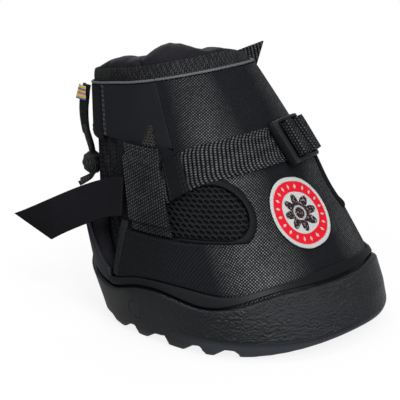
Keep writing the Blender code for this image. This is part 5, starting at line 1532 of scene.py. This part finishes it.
def make_lock():
    frame = lock_frame()
    half_width, half, corner = LOCK_WIDTH / 2, LOCK_LENGTH / 2, LOCK_THICKNESS / 4
    loops, steps = [], 24
    for k in range(steps + 1):
        u = lerp(-half, half, k / steps)
        lip = LIP_HEIGHT * max(0.0, 1 - k / (steps * 0.2))
        low, high = lock_sag(u) + lip / 2, lock_sag(u) + LOCK_THICKNESS + lip
        section = ((-half_width, low + corner), (-half_width + corner, low), (half_width - corner, low),
                   (half_width, low + corner), (half_width, high - corner), (half_width - corner, high),
                   (-half_width + corner, high), (-half_width, high - corner))
        loops.append([frame @ Vector((u, v, n)) for v, n in section])
    lock = closed_loft("ladder_lock_moulded", loops, PLASTIC)
    slot = STRAP_WIDTH / 2 + LOOP_CLEARANCE
    blocks = []
    for start, end in ((-half + 0.0052, -MIDDLE_BAR_HALF), (MIDDLE_BAR_HALF, half - 2 * FAR_BAR_HALF)):
        corners = ((start, -slot), (end, -slot), (end, slot), (start, slot))
        blocks.append(closed_loft("lock_slot", [[frame @ Vector((u, v, n)) for u, v in corners]
                                                for n in (-0.008, 0.010)], PLASTIC))
    lock = cut_away(lock, *blocks)
    round_edges(lock, 0.00045, 3, 40)
    carried(bake(lock), "ladder_lock", "ladder_lock")
    around = FIT_GAP + LOOP_WEBBING / 2
    reach = (MIDDLE_BAR_HALF + around, LOCK_THICKNESS / 2 + around)
    places = squarish_arc((0.0, LOCK_THICKNESS / 2), reach, 180, 0, 24)
    places = [(-reach[0], 0.0003)] + places + [(reach[0], 0.0003)]
    across = frame.to_3x3() @ Vector((0.0, 1.0, 0.0))
    path = [frame @ Vector((u, 0.0, n)) for u, n in places]
    turn = ribbon("strap_turn_webbing", path, [across] * len(path), STRAP_WIDTH, LOOP_WEBBING, KEEPER_WEAVE)
    carried(turn, "ladder_lock", "strap_turn")
    make_loop(frame, across)


def between(a, b, count=8):
    return [a.lerp(b, k / count) for k in range(1, count)]


def make_loop(frame, across):
    """The webbing loop: its upper end, round the lock's far bar and back under itself."""
    around = BAR_PLAY + LOOP_WEBBING / 2
    reach = (FAR_BAR_HALF + around, LOCK_THICKNESS / 2 + around)
    middle = lock_sag(FAR_BAR) + LOCK_THICKNESS / 2
    places = squarish_arc((FAR_BAR, middle), reach, 55, 270, 30)
    places.append((FAR_BAR + reach[0], middle - reach[1]))
    turned = [frame @ Vector((u, 0.0, n)) for u, n in places]
    lower = OVERLAY_FOOT + LOOP_WEBBING / 2
    angles = spread(47.0, 39.5, 0.9)

    def tail(stand, order):
        return ([wall(a, strap_height(a), stand) for a in order],
                [(wall(a, strap_height(a) + 0.005) - wall(a, strap_height(a) - 0.005)).normalized() for a in order])

    over, over_ups = tail(lower + LOOP_WEBBING + FIT_GAP, angles)
    under, under_ups = tail(lower, angles[::-1])
    path = over + between(over[-1], turned[0]) + turned + between(turned[-1], under[0]) + under
    ups = over_ups + between(over_ups[-1], across) + [across] * len(turned)
    ups += between(across, under_ups[0]) + under_ups
    loop = ribbon("buckle_loop_webbing", path, ups, STRAP_WIDTH, LOOP_WEBBING, KEEPER_WEAVE)
    carried(loop, "boot", "buckle_loop")


# Badge, cuff tab and insole

BADGE_BORDER, BADGE_SHOWN, DISC_SIDES = 0.0183, 0.945, 96
TAB_HEIGHT, TAB_WIDTH, TAB_LENGTH, TAB_CUT_BACK, TAB_START = 0.112, 0.019, 0.040, 0.012, 97.0
INSOLE_INSET, INSOLE_CROWN, INSOLE_FOAM_THICKNESS = -0.0035, 0.0040, 0.0027


def make_badge():
    centre = wall(BADGE_ANGLE, BADGE_HEIGHT)
    left, right = (wall(BADGE_ANGLE + turn, BADGE_HEIGHT) for turn in (5.0, -5.0))
    degrees = 10.0 / (left - right).length
    up = wall(BADGE_ANGLE, BADGE_HEIGHT + BADGE_RADIUS / 2) - centre
    rise = up.z / up.length
    radii = spread(0.0, BADGE_BORDER, 0.0009)[1:] + [0.0186, 0.0190, 0.0195, 0.0200, 0.0204, BADGE_RADIUS]
    vertices, coords = [], []
    for r in radii:
        border = clamp((r - BADGE_BORDER) / (BADGE_RADIUS - BADGE_BORDER))
        for k in range(DISC_SIDES):
            turn = 2 * pi * k / DISC_SIDES
            ropes = 0.00006 * sin(turn * 64) * sin(pi * border)
            stand = OVERLAY_FOOT + 0.0010 + 0.0006 * sin(pi * border) ** 0.7 + ropes
            x, y = r * cos(turn), r * sin(turn)
            angle, height = BADGE_ANGLE + x * BADGE_SHOWN * degrees, BADGE_HEIGHT + y * BADGE_SHOWN * rise
            vertices.append(wall(angle, height, stand))
            coords.append((x, y))
    vertices.append(wall(BADGE_ANGLE, BADGE_HEIGHT, OVERLAY_FOOT + 0.0010))
    coords.append((0.0, 0.0))
    faces = disc_faces(len(radii), DISC_SIDES)
    mesh = plain_mesh("badge_embroidered", vertices, faces, [coords[v] for face in faces for v in face])
    badge = link("badge_embroidered", mesh, BADGE_THREAD)
    thicken(badge, 0.0009)
    carried(bake(badge), "boot", "badge_patch")


def make_tab():
    stand = SHELL_CLOTH + 2 * FIT_GAP + WEBBING / 2
    angles = spread(TAB_START, CUFF_REAR, 1.0)
    leans = [(wall(a, TAB_HEIGHT + 0.005) - wall(a, TAB_HEIGHT - 0.005)).normalized() for a in angles]
    foot = ribbon("tab_foot_webbing", [wall(a, TAB_HEIGHT, stand) for a in angles], leans, TAB_WIDTH, WEBBING,
                  STRAP_WEAVE)
    carried(foot, "cuff_left", "tab_foot")
    heading = Vector((0.27, 1.0, 0.22)).normalized()
    end = wall(CUFF_REAR, TAB_HEIGHT, stand)
    travel = (end - wall(CUFF_REAR - 1, TAB_HEIGHT, stand)).normalized()
    fold = heading.cross(travel).normalized()
    start = end + travel * (WEBBING / 2 + FIT_GAP) - heading.cross(fold) * (WEBBING / 2)
    path = [start + heading * TAB_LENGTH * k / 24 for k in range(25)]
    ups = [fold.lerp(UPWARD, ease(k / 8)) for k in range(25)]
    tab = ribbon("cuff_tab_webbing", path, ups, TAB_WIDTH, WEBBING, STRAP_WEAVE, TAB_CUT_BACK)
    carried(tab, "cuff_tab", "cuff_tab")


def make_insole():
    shares = spread(0.0, 1.0, 0.08)[1:]
    vertices = []
    for share in shares:
        for k in range(DISC_SIDES):
            edge = wall(k * 360 / DISC_SIDES - 180, UPPER_FOOT, INSOLE_INSET)
            crown = INSOLE_CROWN - 0.0012 * ease((share - 0.86) / 0.14)
            vertices.append((edge.x * share, edge.y * share, UPPER_FOOT + crown))
    vertices.append((0.0, 0.0, UPPER_FOOT + INSOLE_CROWN))
    mesh = plain_mesh("insole_foam_pad", vertices, disc_faces(len(shares), DISC_SIDES))
    pad = link("insole_foam_pad", mesh, INSOLE_FOAM)
    thicken(pad, INSOLE_FOAM_THICKNESS)
    carried(bake(pad), "boot", "insole_pad")


def make_stitches():
    for (body, pale), lines in SEAMS.items():
        name, thread = ("pale", PALE_THREAD) if pale else ("dark", THREAD)
        carried(stitches(f"{body}_stitches_{name}", lines, 0.0024, 0.0021, 0.00048, thread), body)


# Floor and light

# Each lamp's name, azimuth, elevation, distance, size and power
LAMPS = (("key", 56.0, 40.0, 0.9, 0.32, 4.8), ("top", 20.0, 82.0, 0.9, 0.70, 3.6),
         ("fill", -20.0, 20.0, 1.0, 0.60, 1.0), ("glint", 70.0, 16.0, 0.7, 0.11, 1.4),
         ("rear", 235.0, 35.0, 1.0, 0.50, 3.2))


def make_floor():
    bpy.ops.mesh.primitive_plane_add(size=12.0, location=(0.0, 0.0, 0.0))
    ground = bpy.context.object
    ground.name = "studio_floor"
    paper = bpy.data.materials.new("studio_paper")
    paper.use_nodes = True
    net = Net(paper.node_tree)
    shader, out = net.tree.nodes["Principled BSDF"], net.tree.nodes["Material Output"]
    shader.inputs["Base Color"].default_value = (0.82, 0.82, 0.82, 1.0)
    shader.inputs["Roughness"].default_value = 0.9
    rays = net.add("LightPath").outputs
    seen = net.math('MAXIMUM', rays["Is Camera Ray"], net.math('MAXIMUM', rays["Is Glossy Ray"],
                                                             rays["Is Transmission Ray"]))
    far = net.add("VectorMath", net.add("TexCoord").outputs["Object"], operation='LENGTH').outputs["Value"]
    fade = net.ramp(far, 0.11, 0.20, 0.86, 1.0)
    strength = net.math('MULTIPLY_ADD', rays["Is Camera Ray"], 0.72, 0.28)
    glow = net.add("Emission", (1.0, 1.0, 1.0, 1.0), strength).outputs[0]
    mixed = net.add("MixShader", net.times(seen, fade), shader.outputs[0], glow).outputs[0]
    net.tree.links.new(mixed, out.inputs["Surface"])
    ground.data.materials.append(paper)


def make_sky():
    world = bpy.data.worlds.new("studio")
    bpy.context.scene.world = world
    world.use_nodes = True
    net = Net(world.node_tree)
    back, out = net.tree.nodes["Background"], net.tree.nodes["World Output"]
    back.inputs["Color"].default_value = (0.80, 0.82, 0.85, 1.0)
    back.inputs["Strength"].default_value = 0.33
    rays = net.add("LightPath").outputs
    white = net.add("Background", (1.0, 1.0, 1.0, 1.0), 1.0).outputs[0]
    mixed = net.add("MixShader", rays["Is Camera Ray"], back.outputs[0], white).outputs[0]
    net.tree.links.new(mixed, out.inputs["Surface"])


def lamp(name, azimuth, elevation, distance, size, power):
    azimuth, elevation = radians(azimuth), radians(elevation)
    away = Vector((sin(azimuth) * cos(elevation), -cos(azimuth) * cos(elevation), sin(elevation)))
    data = bpy.data.lights.new(name, 'AREA')
    data.shape, data.size, data.energy = 'DISK', size, power
    made = put_in_scene(name, data)
    made.location = Vector((0.0, 0.0, 0.06)) + away * distance
    made.rotation_euler = away.to_track_quat('Z', 'Y').to_euler()


make_sole()
make_rand()
make_heel_cup()
make_shell()
make_windows()
make_quarters()
make_cuffs()
make_rear()
make_band()
make_pads()
make_piping()
make_straps()
make_lock()
make_badge()
make_tab()
make_insole()
make_stitches()
make_floor()
make_sky()
for light in LAMPS:
    lamp(*light)
bpy.context.scene.view_settings.view_transform = 'Standard'
